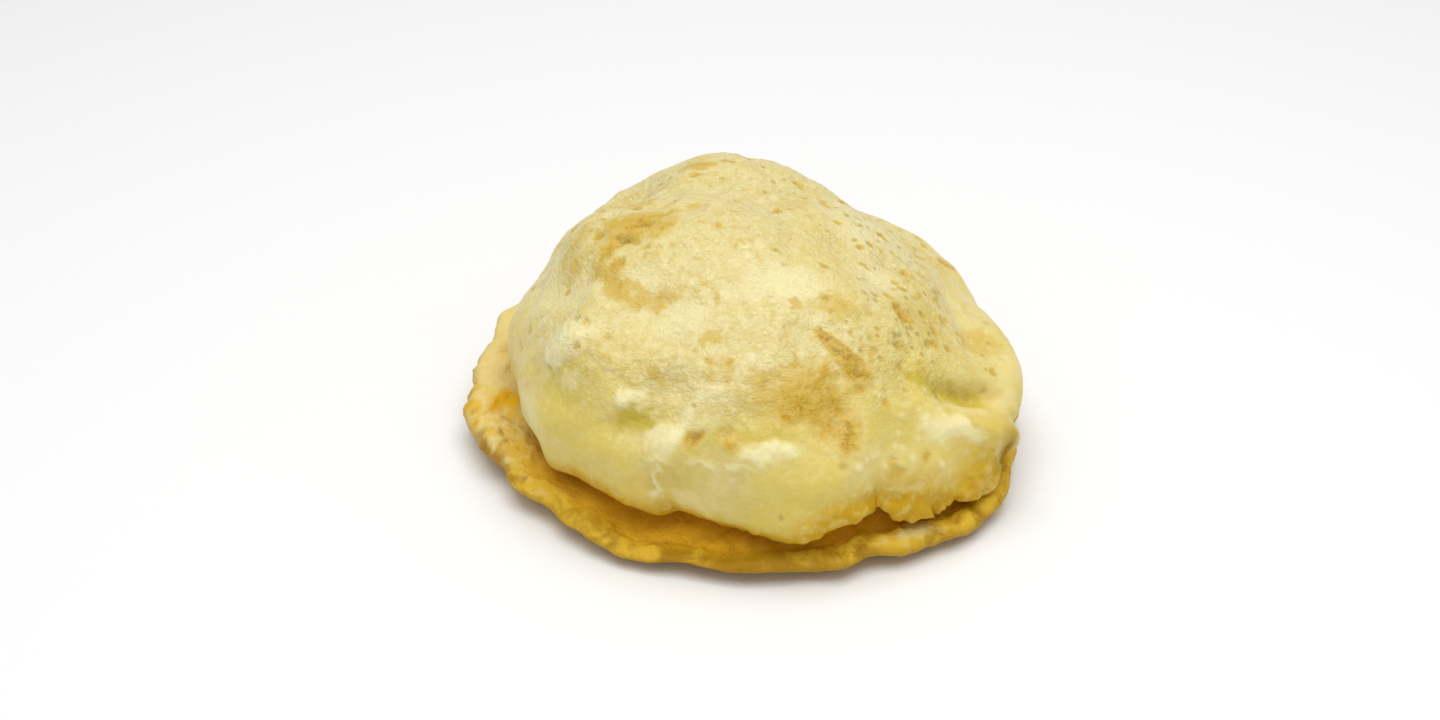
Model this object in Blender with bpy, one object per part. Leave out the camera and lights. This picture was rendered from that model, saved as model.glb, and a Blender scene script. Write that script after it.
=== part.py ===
"""A puffed puri: one deep-fried round of dough, blown up by its own steam.

Its thin upper skin stands as an uneven dome.  Low down the dome bulges out and hangs over a crease,
below which the thicker lower skin runs out as a gutter and ends in a lip.  The puri rests on the
flat middle of that lower skin.  It isn't cut, so it is one solid.

The surface is a profile (radius, height) worked out for each azimuth, from the summit down over the
dome, into the crease, out along the gutter, round the lip and in to the foot.  Lumps, dents and
ripples are then pushed along the surface's normals.

Metres, +Z up.  The origin is the middle of the puri's box seen from above, on the surface it rests on.
Azimuths are in degrees, counter-clockwise from +X seen from above; the front, -Y, is at 270.
A fall is an angle down the dome: 90 at the summit, 0 where the dome is widest, less below that.
"""

import bmesh
import bpy
import numpy as np

MM = 0.001

# Driving sizes
LIP_RADIUS = 79.5 * MM  # the outer edge of the lower skin
LIP_HEIGHT = 7.5 * MM
LIP_THICKNESS = 4.4 * MM
FOOT_INSET = 13.0 * MM  # the flat foot ends this far inside the lip
DOME_HEIGHT = 70.0 * MM
DOME_RADIUS = 75.0 * MM  # of the even dome that the brow's swells depart from
DOME_BASE = 20.0 * MM  # the height at which that dome is widest
DOME_SLACK = 0.07  # how far inside an ellipse its flank lies, as a share of its size
SUMMIT = (-9.0 * MM, -2.0 * MM)  # the dome's highest point, seen from above
LEAN_START = 25.0 * MM  # the height at which the dome starts to lean towards its summit
FALL_STEP = 10  # between the points of the dome's profile, in degrees
BROW_REACH = 42.0  # the fall above which the dome keeps nothing of the brow's swells
FADE_POWER = 1.5  # of the lean upwards from its start, and of the brow's swells up to their reach
BROW_RADIUS = 71.0 * MM  # the lowest edge of the dome seen from above, which hangs over the crease
BROW_HEIGHT = 14.0 * MM
BROW_ROUNDNESS = 7.0 * MM  # the radius of the bulge above the crease
BROW_EDGE_DROP = 55.0  # how far down that bulge its lowest seen edge lies, in degrees
BROW_DROPS = (0.0, 30.0, 55.0, 80.0)  # the points of the profile down the bulge, in degrees
CREASE_DEPTH = 9.0 * MM  # how far the crease runs in behind the brow
CREASE_GAP = 1.4 * MM  # between the two skins, in the crease
CREASE_RUN = 2.5 * MM  # the length of the crease's rounded end
CREASE_LEAST = 0.6 * MM  # how far in behind the brow's last point the crease runs at the least
GUTTER_SAGS = ((0.35, 1.2 * MM), (0.7, 1.6 * MM))  # how far it sags, at two shares of the way out
LIP_SECTION = ((-2.2, 0.95), (-0.6, 0.8), (0.0, 0.0), (-0.7, -0.85))  # out and up, in half thicknesses
LIP_EDGE = 2  # which of those is the lip's outermost point
UNDER_RISE = 0.42  # the underside's height halfway in from the lip, as a share of the lip's

# Swells: what is added to a size round an azimuth, as (azimuth, half width in degrees, amount)
LIP_RADIUS_SWELLS = (
    (315, 25, 5.5 * MM),  # pushed out at the front right
    (325, 9, 3.0 * MM),
    (342, 6, -2.8 * MM),
    (194, 10, 2.9 * MM),  # a folded lump on the left
    (208, 4, -2.3 * MM),  # where one stretch of lip ends on the next
    (214.5, 4, 1.5 * MM),
    (224, 5, -3.0 * MM),
    (236, 14, 0.8 * MM),
    (293, 4, -2.5 * MM),  # where one stretch of lip tucks behind the next
    (155, 20, -5.0 * MM),
    (80, 30, -3.0 * MM),
    (15, 30, -3.0 * MM),
)
LIP_HEIGHT_SWELLS = (
    (240, 22, -1.5 * MM),
    (275, 30, -2.0 * MM),
    (312, 18, -1.5 * MM),
    (164, 18, 12.5 * MM),  # the rim rides up on the far left
    (204, 8, 2.0 * MM),
    (120, 25, 3.0 * MM),
    (20, 32, 3.0 * MM),
)
LIP_THICKNESS_SWELLS = (
    (185, 14, 3.0 * MM),
    (305, 12, 1.0 * MM),
)
BROW_RADIUS_SWELLS = (
    (322, 20, 8.0 * MM),  # the dome's edge is rolled out here, as far as the lip
    (326, 7, 3.2 * MM),
    (338, 10, 2.0 * MM),
    (285, 12, 3.5 * MM),
    (295.5, 3.0, -2.5 * MM),
    (250, 17, -5.5 * MM),
    (226, 16, -4.5 * MM),
    (202, 14, -6.5 * MM),
    (198, 6, -1.8 * MM),
    (168, 22, -8.0 * MM),  # the far left stands steep behind a broad rim
    (100, 34, -6.0 * MM),
    (20, 24, -4.0 * MM),
)
BROW_HEIGHT_SWELLS = (
    (190, 14, 2.0 * MM),
    (238, 25, -3.0 * MM),
    (239, 7, 5.0 * MM),
    (248, 3, -2.0 * MM),
    (256, 5, 1.2 * MM),
    (266, 4, -1.2 * MM),
    (276, 12, -3.0 * MM),
    (286, 5, 1.8 * MM),
    (297, 5, 2.5 * MM),
    (302, 3, -1.4 * MM),
    (311, 3.5, -2.4 * MM),
    (322, 8, -4.5 * MM),
    (350, 16, 8.0 * MM),  # the band on the right stands clear of the lower skin
    (150, 34, 9.0 * MM),
)
BROW_ROUNDNESS_SWELLS = (
    (215, 30, 6.0 * MM),  # the smooth pillows on the left
    (275, 16, 2.0 * MM),
    (308, 22, -3.0 * MM),  # a thin fringed edge
)
CREASE_DEPTH_SWELLS = (
    (318, 24, 5.0 * MM),
    (162, 24, -7.2 * MM),  # no more than a groove here, where dome and rim run together
    (15, 24, -4.0 * MM),
)
GUTTER_FILLS = ((168, 15, 9.0 * MM),)  # what its inner end is raised by, where there is no gutter
DOME_RADIUS_SWELLS = (
    (165, 38, -7.0 * MM),
    (325, 26, 3.0 * MM),
    (25, 38, -7.0 * MM),
)
DOME_SLACK_SWELLS = (
    (230, 34, -0.05),
    (285, 34, -0.03),
    (10, 34, 0.03),
)

# Ruffles round an edge, as (size of the ruffle, fewest waves, most waves, seed)
LIP_RADIUS_RUFFLE = (0.6 * MM, 4, 30, 11)
LIP_HEIGHT_RUFFLE = (0.5 * MM, 4, 22, 12)
BROW_RADIUS_RUFFLE = (0.3 * MM, 6, 26, 13)
BROW_HEIGHT_RUFFLE = (0.3 * MM, 6, 24, 14)
FRINGE_RUFFLE = (0.8 * MM, 44, 72, 15)
FRINGE = (304, 16)  # the azimuth and half width of the brow's ragged stretch

# Lumps and dents of the dome, as (azimuth, fall, half width round, half width down, tilt, height).
# A tilt turns the lump on the surface, counter-clockwise seen from outside.
DOME_LUMPS = (
    # the summit and the shoulders round it
    (90, 60, 22 * MM, 14 * MM, 0, 4.6 * MM),
    (136, 54, 12 * MM, 9 * MM, 0, -5.0 * MM),
    (176, 52, 17 * MM, 13 * MM, 0, 4.5 * MM),
    (58, 36, 11 * MM, 12 * MM, 0, -3.0 * MM),
    # the pillows above the brow, from the left round to the right
    (224, 8, 26 * MM, 14 * MM, 0, 2.5 * MM),
    (250.5, 3, 2.6 * MM, 12 * MM, 0, -1.6 * MM),
    (246, 2, 5 * MM, 11 * MM, 0, 1.4 * MM),
    (275, 6, 22 * MM, 13 * MM, 0, 2.5 * MM),
    (314, 12, 22 * MM, 12 * MM, 0, 3.0 * MM),
    (238, 21, 13 * MM, 6 * MM, 10, -2.0 * MM),
    (242, 28, 6 * MM, 5 * MM, 0, 1.4 * MM),
    (251, 18, 11 * MM, 5 * MM, 35, 1.6 * MM),
    (270, 19, 14 * MM, 5 * MM, 5, 1.2 * MM),
    (290, 26, 12 * MM, 12 * MM, 0, -1.5 * MM),
    # the valley and the ridge on the right
    (326.5, 19.5, 14 * MM, 4.6 * MM, -49, -5.6 * MM),
    (325, 10.5, 13 * MM, 4.2 * MM, -47, 3.8 * MM),
    (327, -12, 9 * MM, 8 * MM, 0, -2.2 * MM),
    (334, -2, 3.0 * MM, 6 * MM, 10, -2.4 * MM),  # the slot beside the ridge's wall
    (349, 6, 20 * MM, 6 * MM, 8, 3.4 * MM),
    (350, 24, 18 * MM, 5 * MM, 8, -2.2 * MM),
    # the middle of the dome
    (235, 54, 16 * MM, 12 * MM, 0, -1.5 * MM),
    (225, 38, 15 * MM, 11 * MM, 0, 2.0 * MM),
    (262, 45, 18 * MM, 12 * MM, 0, 1.2 * MM),
    (297, 40, 5 * MM, 16 * MM, 25, -1.5 * MM),
)

# Lumps and dents of the lower skin, as (azimuth, share of the way from the crease to the lip's
# edge, half width round, half width across, tilt, height)
RIM_LUMPS = (
    (193, 0.30, 5 * MM, 4 * MM, 0, -4.0 * MM),
    (202, 0.55, 5 * MM, 5 * MM, 0, 2.8 * MM),
    (206, 1.45, 7 * MM, 3 * MM, 0, 4.0 * MM),  # under the lip
    (226, 0.50, 12 * MM, 3 * MM, 0, 1.2 * MM),
    (303, 0.55, 9 * MM, 5 * MM, 0, 3.0 * MM),
    (318, 0.55, 12 * MM, 5 * MM, 0, 2.2 * MM),
)

# Ripples over the whole surface, as (wavelength, height, seed)
RIPPLES = (
    (46 * MM, 1.1 * MM, 21),
    (24 * MM, 0.45 * MM, 22),
    (12 * MM, 0.22 * MM, 23),
)
WAVES_IN_A_RIPPLE = 40
RIPPLE_LENGTHS = (0.75, 1.35)  # of its waves, as shares of its wavelength

LUMP_THROUGH = 1.5  # how deep through the bread a lump reaches, in its longer half widths

# How far the lumps and ripples act, as (stretch, points past its start, share): they are kept out
# of the crease and off the foot
FREEDOM = (
    ("dome", 0, 1.0),
    ("brow", 1, 1.0),
    ("brow", 2, 0.7),
    ("brow", 3, 0.3),
    ("crease", 0, 0.0),
    ("gutter", 0, 0.0),
    ("gutter", 1, 0.4),
    ("lip", 0, 0.5),
    ("under", 0, 0.3),
    ("foot", 0, 0.0),
)

# The mesh: how many rings each stretch of the profile has
SEGMENTS = 144  # round the brow and the lip
STRETCHES = (("dome", 20), ("brow", 6), ("crease", 4), ("gutter", 6), ("lip", 6), ("under", 3))
DOME_CROWDING = 0.8  # the dome's rings lie closer towards the brow; 1 would be evenly
HALVED_ABOVE = (9, 15)  # rings up from the widest one at which the dome's segments halve

BREAD_COLOUR = (0.72, 0.58, 0.24, 1.0)
BREAD_ROUGHNESS = 0.5


def turned(azimuth, centre):
    """The signed angle from centre to azimuth, in degrees."""
    return (azimuth - centre + 180.0) % 360.0 - 180.0


def swell(azimuth, centre, half_width):
    """1 at the centre, falling smoothly to 0 on both sides of it."""
    return np.exp(-((turned(azimuth, centre) / half_width) ** 2))


def swollen(azimuth, size, swells):
    """A size at each azimuth, with its swells added."""
    total = np.full(azimuth.shape, float(size))
    for centre, half_width, amount in swells:
        total += amount * swell(azimuth, centre, half_width)
    return total


def ruffle(azimuth, size, fewest, most, seed):
    """Uneven waves round the puri, which meet where they close."""
    draw = np.random.default_rng(seed)
    total = np.zeros(azimuth.shape)
    for waves in range(fewest, most):
        total += draw.normal() * np.cos(np.radians(azimuth * waves) + draw.uniform(0.0, 2.0 * np.pi))
    return size * total / np.sqrt((most - fewest) / 2.0)


def ripple(points, wavelength, height, seed):
    """Uneven waves in all directions through space, read at each point."""
    draw = np.random.default_rng(seed)
    total = np.zeros(points.shape[:-1])
    for _ in range(WAVES_IN_A_RIPPLE):
        way = draw.normal(size=3)
        way *= 2.0 * np.pi / (wavelength * draw.uniform(*RIPPLE_LENGTHS) * np.linalg.norm(way))
        total += np.cos(points @ way + draw.uniform(0.0, 2.0 * np.pi))
    return height * total / np.sqrt(WAVES_IN_A_RIPPLE / 2.0)


def profile(azimuth):
    """The profile's control points at each azimuth, as (point, azimuth, (radius, height)), and the
    index of the point at which each stretch of the profile starts."""
    brow_r = swollen(azimuth, BROW_RADIUS, BROW_RADIUS_SWELLS)
    fringe = ruffle(azimuth, *FRINGE_RUFFLE) * swell(azimuth, *FRINGE)
    frill = ruffle(azimuth, *BROW_RADIUS_RUFFLE) + fringe
    brow_z = swollen(azimuth, BROW_HEIGHT, BROW_HEIGHT_SWELLS) + ruffle(azimuth, *BROW_HEIGHT_RUFFLE)
    bulge = swollen(azimuth, BROW_ROUNDNESS, BROW_ROUNDNESS_SWELLS)
    lip_r = swollen(azimuth, LIP_RADIUS, LIP_RADIUS_SWELLS) + ruffle(azimuth, *LIP_RADIUS_RUFFLE)
    lip_z = swollen(azimuth, LIP_HEIGHT, LIP_HEIGHT_SWELLS) + ruffle(azimuth, *LIP_HEIGHT_RUFFLE)
    crease_r = brow_r - swollen(azimuth, CREASE_DEPTH, CREASE_DEPTH_SWELLS)
    thick = 0.5 * swollen(azimuth, LIP_THICKNESS, LIP_THICKNESS_SWELLS)
    dome_r = swollen(azimuth, DOME_RADIUS, DOME_RADIUS_SWELLS)
    slack = swollen(azimuth, DOME_SLACK, DOME_SLACK_SWELLS)

    edge = np.radians(BROW_EDGE_DROP)
    middle_r = brow_r - bulge * np.cos(edge)
    widest_r = middle_r + bulge
    widest_z = brow_z + bulge * np.sin(edge)

    points = []
    starts = {"dome": 0}
    for degrees in range(90, 0, -FALL_STEP):
        fall = np.radians(degrees)
        follow = max(0.0, 1.0 - degrees / BROW_REACH) ** FADE_POWER
        base_r = dome_r + (widest_r - dome_r) * follow
        base_z = DOME_BASE + (widest_z - DOME_BASE) * follow
        pull = 1.0 - slack * np.sin(2.0 * fall) ** 2
        rise = (DOME_HEIGHT - base_z) * pull * np.sin(fall)
        points.append((base_r * pull * np.cos(fall), base_z + rise))
    starts["brow"] = len(points)
    for drop in np.radians(BROW_DROPS):
        edge_r = middle_r + bulge * np.cos(drop) + frill * np.sin(drop)
        points.append((np.maximum(edge_r, crease_r + CREASE_LEAST), widest_z - bulge * np.sin(drop)))
    starts["crease"] = len(points)
    last_r, last_z = points[-1]
    floor_z = np.minimum(last_z, lip_z + 2.0 * thick) - CREASE_GAP
    roof_z = 0.5 * (last_z + floor_z + CREASE_GAP)
    points.append((crease_r + np.minimum(CREASE_RUN, 0.5 * (last_r - crease_r)), roof_z))
    points.append((crease_r, 0.5 * (roof_z + floor_z)))
    points.append((crease_r + CREASE_RUN, floor_z))
    starts["gutter"] = len(points)
    gutter_r = crease_r + CREASE_RUN
    gutter_run = lip_r + LIP_SECTION[0][0] * thick - gutter_r
    fill = swollen(azimuth, 0.0, GUTTER_FILLS)
    for share, sag in GUTTER_SAGS:
        height = floor_z * (1.0 - share) + (lip_z + thick) * share - sag + fill * (1.0 - share)
        points.append((gutter_r + gutter_run * share, height))
    starts["lip"] = len(points)
    for out, up in LIP_SECTION:
        points.append((lip_r + out * thick, lip_z + up * thick))
    starts["under"] = len(points)
    points.append((lip_r - 0.5 * FOOT_INSET, (lip_z - thick) * UNDER_RISE))
    points.append((lip_r - FOOT_INSET, np.zeros_like(lip_r)))
    starts["foot"] = len(points) - 1
    return np.array([np.stack(point, axis=-1) for point in points]), starts


def along(points, places):
    """Catmull-Rom through the control points, at places counted in points."""
    mirrored = points[1] * np.array((-1.0, 1.0))  # the profile goes on level across the summit
    beyond = 2 * points[-1] - points[-2]
    whole = np.concatenate([mirrored[None], points, beyond[None]])
    first = np.clip(np.floor(places).astype(int), 0, len(points) - 2)
    f = (places - first)[:, None, None]
    a, b, c, d = (whole[first + k] for k in range(4))
    cubic = (3 * b - a - 3 * c + d) * f**3
    return 0.5 * (2 * b + (c - a) * f + (2 * a - 5 * b + 4 * c - d) * f**2 + cubic)


def smooth_surface(azimuth, places):
    """The surface before its lumps: an array (place, azimuth, xyz)."""
    rz = along(profile(azimuth)[0], places)
    angle = np.radians(azimuth)
    lean = np.clip((rz[..., 1] - LEAN_START) / (DOME_HEIGHT - LEAN_START), 0.0, 1.0) ** FADE_POWER
    x = rz[..., 0] * np.cos(angle) + SUMMIT[0] * lean
    y = rz[..., 0] * np.sin(angle) + SUMMIT[1] * lean
    return np.stack([x, y, rz[..., 1]], axis=-1)


def unit(vectors):
    """The vectors at a length of 1."""
    return vectors / np.maximum(np.linalg.norm(vectors, axis=-1, keepdims=True), 1e-12)


def normals(points):
    """The outward unit normals of a grid of points (place, azimuth, xyz)."""
    round_way = np.roll(points, -1, axis=1) - np.roll(points, 1, axis=1)
    down_way = np.gradient(points, axis=0)
    outward = np.cross(down_way, round_way)
    outward[0] = (0.0, 0.0, 1.0)
    return unit(outward)


def lump(points, azimuth, place, half_round, half_down, tilt, height):
    """How far one lump, centred at a place along the profile, pushes each point out."""
    patch = smooth_surface(azimuth + np.array([-1.0, 0.0, 1.0]), place + np.array([-0.1, 0.0, 0.1]))
    centre = patch[1, 1]
    round_way = unit(patch[1, 2] - patch[1, 0])
    outward = unit(np.cross(patch[2, 1] - patch[0, 1], round_way))
    up_way = np.cross(outward, round_way)
    turn = np.radians(tilt)
    long_way = round_way * np.cos(turn) + up_way * np.sin(turn)
    short_way = up_way * np.cos(turn) - round_way * np.sin(turn)
    away = points - centre
    across = (away @ long_way / half_round) ** 2 + (away @ short_way / half_down) ** 2
    through = (away @ outward / (LUMP_THROUGH * max(half_round, half_down))) ** 2
    return height * np.exp(-across - through)


def freedom(places, starts):
    """How far the lumps and ripples act at each place along the profile."""
    known = [starts[name] + further for name, further, _ in FREEDOM]
    return np.interp(places, known, [share for _, _, share in FREEDOM])


def surface(azimuth, places):
    """The whole outside, from the summit down to the foot: an array (place, azimuth, xyz)."""
    _, starts = profile(azimuth)
    gutter_and_lip = starts["lip"] + LIP_EDGE - starts["gutter"]
    points = smooth_surface(azimuth, places)
    push = sum(ripple(points, *size) for size in RIPPLES)
    for at, fall, *size in DOME_LUMPS:
        push += lump(points, at, (90.0 - fall) / FALL_STEP, *size)
    for at, share, *size in RIM_LUMPS:
        push += lump(points, at, starts["gutter"] + gutter_and_lip * share, *size)
    push *= freedom(places, starts)[:, None]
    push[0] = push[0].mean()
    return points + normals(points) * push[..., None]


def ring_places():
    """Where the mesh's rings lie along the profile, and how many segments each one has."""
    _, starts = profile(np.zeros(1))
    ends = [starts[name] for name, _ in STRETCHES[1:]] + [starts["foot"]]
    places = []
    for (name, count), end in zip(STRETCHES, ends):
        places += list(np.linspace(starts[name], end, count, endpoint=False))
    places = np.array(places + [starts["foot"]])
    dome = places < starts["brow"]
    places[dome] = starts["brow"] * (places[dome] / starts["brow"]) ** DOME_CROWDING
    above = STRETCHES[0][1] - np.arange(len(places))
    halvings = (above >= HALVED_ABOVE[0]).astype(int) + (above >= HALVED_ABOVE[1])
    return places, SEGMENTS // 2**halvings


def stitched(mesh, upper, lower):
    """Joins two rings of vertices by faces, where the lower one has as many or twice as many."""
    step = len(lower) // len(upper)
    for i, here in enumerate(upper):
        after = upper[(i + 1) % len(upper)]
        below = [lower[(step * i + k) % len(lower)] for k in range(step + 1)]
        if step == 1:
            mesh.faces.new((here, below[0], below[1], after))
        else:
            mesh.faces.new((here, below[0], below[1]))
            mesh.faces.new((here, below[1], after))
            mesh.faces.new((after, below[1], below[2]))


def puri_mesh():
    """One closed body: a fan at the summit, stitched rings, and the flat foot."""
    places, counts = ring_places()
    grid = surface(np.arange(SEGMENTS) * 360.0 / SEGMENTS, places)
    middle = 0.5 * (grid.min(axis=(0, 1)) + grid.max(axis=(0, 1)))
    grid -= (middle[0], middle[1], 0.0)
    mesh = bmesh.new()
    rings = []
    for points, count in zip(grid[1:], counts[1:]):
        rings.append([mesh.verts.new(point) for point in points[:: SEGMENTS // count]])
    summit = mesh.verts.new(grid[0, 0])
    for here, after in zip(rings[0], rings[0][1:] + rings[0][:1]):
        mesh.faces.new((summit, here, after))
    for upper, lower in zip(rings, rings[1:]):
        stitched(mesh, upper, lower)
    mesh.faces.new(reversed(rings[-1]))
    bmesh.ops.triangulate(mesh, faces=mesh.faces)
    data = bpy.data.meshes.new("puri")
    mesh.to_mesh(data)
    mesh.free()
    data.shade_smooth()
    return data


def bread_material():
    """Pale golden fried dough, with a slight sheen of oil."""
    material = bpy.data.materials.new("fried_dough")
    material.use_nodes = True
    shader = material.node_tree.nodes["Principled BSDF"]
    shader.inputs["Base Color"].default_value = BREAD_COLOUR
    shader.inputs["Roughness"].default_value = BREAD_ROUGHNESS
    shader.inputs["Metallic"].default_value = 0.0
    return material


def main():
    for old in list(bpy.data.objects):
        bpy.data.objects.remove(old)
    puri = bpy.data.objects.new("puri", puri_mesh())
    puri.data.materials.append(bread_material())
    bpy.context.scene.collection.objects.link(puri)


main()
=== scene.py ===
"""The finished look of the puri: the solid's own surface at a finer grain, with its dents, blisters
and browning, in soft studio light.

The shape's sizes and functions are the ones its solid is made from, so both have the same folds.
Metres, +Z up.  Azimuths are in degrees, counter-clockwise from +X seen from above; the front, -Y,
is at 270.  A fall is an angle down the dome: 90 at the summit, 0 where the dome is widest.
A heading is a direction seen from above, in degrees from +X.
"""

import bpy
import numpy as np
from mathutils import Matrix, Vector


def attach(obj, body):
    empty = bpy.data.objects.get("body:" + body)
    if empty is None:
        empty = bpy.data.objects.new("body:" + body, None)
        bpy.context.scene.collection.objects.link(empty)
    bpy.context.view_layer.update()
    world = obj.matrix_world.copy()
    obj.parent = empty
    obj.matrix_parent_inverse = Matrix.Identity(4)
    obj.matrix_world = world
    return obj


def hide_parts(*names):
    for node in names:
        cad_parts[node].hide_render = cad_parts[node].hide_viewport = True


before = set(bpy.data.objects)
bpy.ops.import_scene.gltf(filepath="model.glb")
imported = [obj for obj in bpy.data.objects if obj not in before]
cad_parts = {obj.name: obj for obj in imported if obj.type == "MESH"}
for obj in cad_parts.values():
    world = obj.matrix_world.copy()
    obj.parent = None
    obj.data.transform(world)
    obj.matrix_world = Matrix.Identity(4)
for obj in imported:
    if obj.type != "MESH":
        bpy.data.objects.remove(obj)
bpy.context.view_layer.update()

MM = 0.001

# ---------------------------------------------------------------------------------------------
# The shape, as in the solid
# ---------------------------------------------------------------------------------------------

LIP_RADIUS = 79.5 * MM  # the outer edge of the lower skin
LIP_HEIGHT = 7.5 * MM
LIP_THICKNESS = 4.4 * MM
FOOT_INSET = 13.0 * MM  # the flat foot ends this far inside the lip
DOME_HEIGHT = 70.0 * MM
DOME_RADIUS = 75.0 * MM  # of the even dome that the brow's swells depart from
DOME_BASE = 20.0 * MM  # the height at which that dome is widest
DOME_SLACK = 0.07  # how far inside an ellipse its flank lies, as a share of its size
SUMMIT = (-9.0 * MM, -2.0 * MM)  # the dome's highest point, seen from above
LEAN_START = 25.0 * MM  # the height at which the dome starts to lean towards its summit
FALL_STEP = 10  # between the points of the dome's profile, in degrees
BROW_REACH = 42.0  # the fall above which the dome keeps nothing of the brow's swells
FADE_POWER = 1.5  # of the lean upwards from its start, and of the brow's swells up to their reach
BROW_RADIUS = 71.0 * MM  # the lowest edge of the dome seen from above, which hangs over the crease
BROW_HEIGHT = 14.0 * MM
BROW_ROUNDNESS = 7.0 * MM  # the radius of the bulge above the crease
BROW_EDGE_DROP = 55.0  # how far down that bulge its lowest seen edge lies, in degrees
BROW_DROPS = (0.0, 30.0, 55.0, 80.0)  # the points of the profile down the bulge, in degrees
CREASE_DEPTH = 9.0 * MM  # how far the crease runs in behind the brow
CREASE_GAP = 1.4 * MM  # between the two skins, in the crease
CREASE_RUN = 2.5 * MM  # the length of the crease's rounded end
CREASE_LEAST = 0.6 * MM  # how far in behind the brow's last point the crease runs at the least
GUTTER_SAGS = ((0.35, 1.2 * MM), (0.7, 1.6 * MM))  # how far it sags, at two shares of the way out
LIP_SECTION = ((-2.2, 0.95), (-0.6, 0.8), (0.0, 0.0), (-0.7, -0.85))  # out and up, in half thicknesses
LIP_EDGE = 2  # which of those is the lip's outermost point
UNDER_RISE = 0.42  # the underside's height halfway in from the lip, as a share of the lip's

# Swells: what is added to a size round an azimuth, as (azimuth, half width in degrees, amount)
LIP_RADIUS_SWELLS = (
    (315, 25, 5.5 * MM),  # pushed out at the front right
    (325, 9, 3.0 * MM),
    (342, 6, -2.8 * MM),
    (194, 10, 2.9 * MM),  # a folded lump on the left
    (208, 4, -2.3 * MM),  # where one stretch of lip ends on the next
    (214.5, 4, 1.5 * MM),
    (224, 5, -3.0 * MM),
    (236, 14, 0.8 * MM),
    (293, 4, -2.5 * MM),  # where one stretch of lip tucks behind the next
    (155, 20, -5.0 * MM),
    (80, 30, -3.0 * MM),
    (15, 30, -3.0 * MM),
)
LIP_HEIGHT_SWELLS = (
    (240, 22, -1.5 * MM),
    (275, 30, -2.0 * MM),
    (312, 18, -1.5 * MM),
    (164, 18, 12.5 * MM),  # the rim rides up on the far left
    (204, 8, 2.0 * MM),
    (120, 25, 3.0 * MM),
    (20, 32, 3.0 * MM),
)
LIP_THICKNESS_SWELLS = (
    (185, 14, 3.0 * MM),
    (305, 12, 1.0 * MM),
)
BROW_RADIUS_SWELLS = (
    (322, 20, 8.0 * MM),  # the dome's edge is rolled out here, as far as the lip
    (326, 7, 3.2 * MM),
    (338, 10, 2.0 * MM),
    (285, 12, 3.5 * MM),
    (295.5, 3.0, -2.5 * MM),
    (250, 17, -5.5 * MM),
    (226, 16, -4.5 * MM),
    (202, 14, -6.5 * MM),
    (198, 6, -1.8 * MM),
    (168, 22, -8.0 * MM),  # the far left stands steep behind a broad rim
    (100, 34, -6.0 * MM),
    (20, 24, -4.0 * MM),
)
BROW_HEIGHT_SWELLS = (
    (190, 14, 2.0 * MM),
    (238, 25, -3.0 * MM),
    (239, 7, 5.0 * MM),
    (248, 3, -2.0 * MM),
    (256, 5, 1.2 * MM),
    (266, 4, -1.2 * MM),
    (276, 12, -3.0 * MM),
    (286, 5, 1.8 * MM),
    (297, 5, 2.5 * MM),
    (302, 3, -1.4 * MM),
    (311, 3.5, -2.4 * MM),
    (322, 8, -4.5 * MM),
    (350, 16, 8.0 * MM),  # the band on the right stands clear of the lower skin
    (150, 34, 9.0 * MM),
)
BROW_ROUNDNESS_SWELLS = (
    (215, 30, 6.0 * MM),  # the smooth pillows on the left
    (275, 16, 2.0 * MM),
    (308, 22, -3.0 * MM),  # a thin fringed edge
)
CREASE_DEPTH_SWELLS = (
    (318, 24, 5.0 * MM),
    (162, 24, -7.2 * MM),  # no more than a groove here, where dome and rim run together
    (15, 24, -4.0 * MM),
)
GUTTER_FILLS = ((168, 15, 9.0 * MM),)  # what its inner end is raised by, where there is no gutter
DOME_RADIUS_SWELLS = (
    (165, 38, -7.0 * MM),
    (325, 26, 3.0 * MM),
    (25, 38, -7.0 * MM),
)
DOME_SLACK_SWELLS = (
    (230, 34, -0.05),
    (285, 34, -0.03),
    (10, 34, 0.03),
)

# Ruffles round an edge, as (size of the ruffle, fewest waves, most waves, seed)
LIP_RADIUS_RUFFLE = (0.6 * MM, 4, 30, 11)
LIP_HEIGHT_RUFFLE = (0.5 * MM, 4, 22, 12)
BROW_RADIUS_RUFFLE = (0.3 * MM, 6, 26, 13)
BROW_HEIGHT_RUFFLE = (0.3 * MM, 6, 24, 14)
FRINGE_RUFFLE = (0.8 * MM, 44, 72, 15)
FRINGE = (304, 16)  # the azimuth and half width of the brow's ragged stretch

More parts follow.
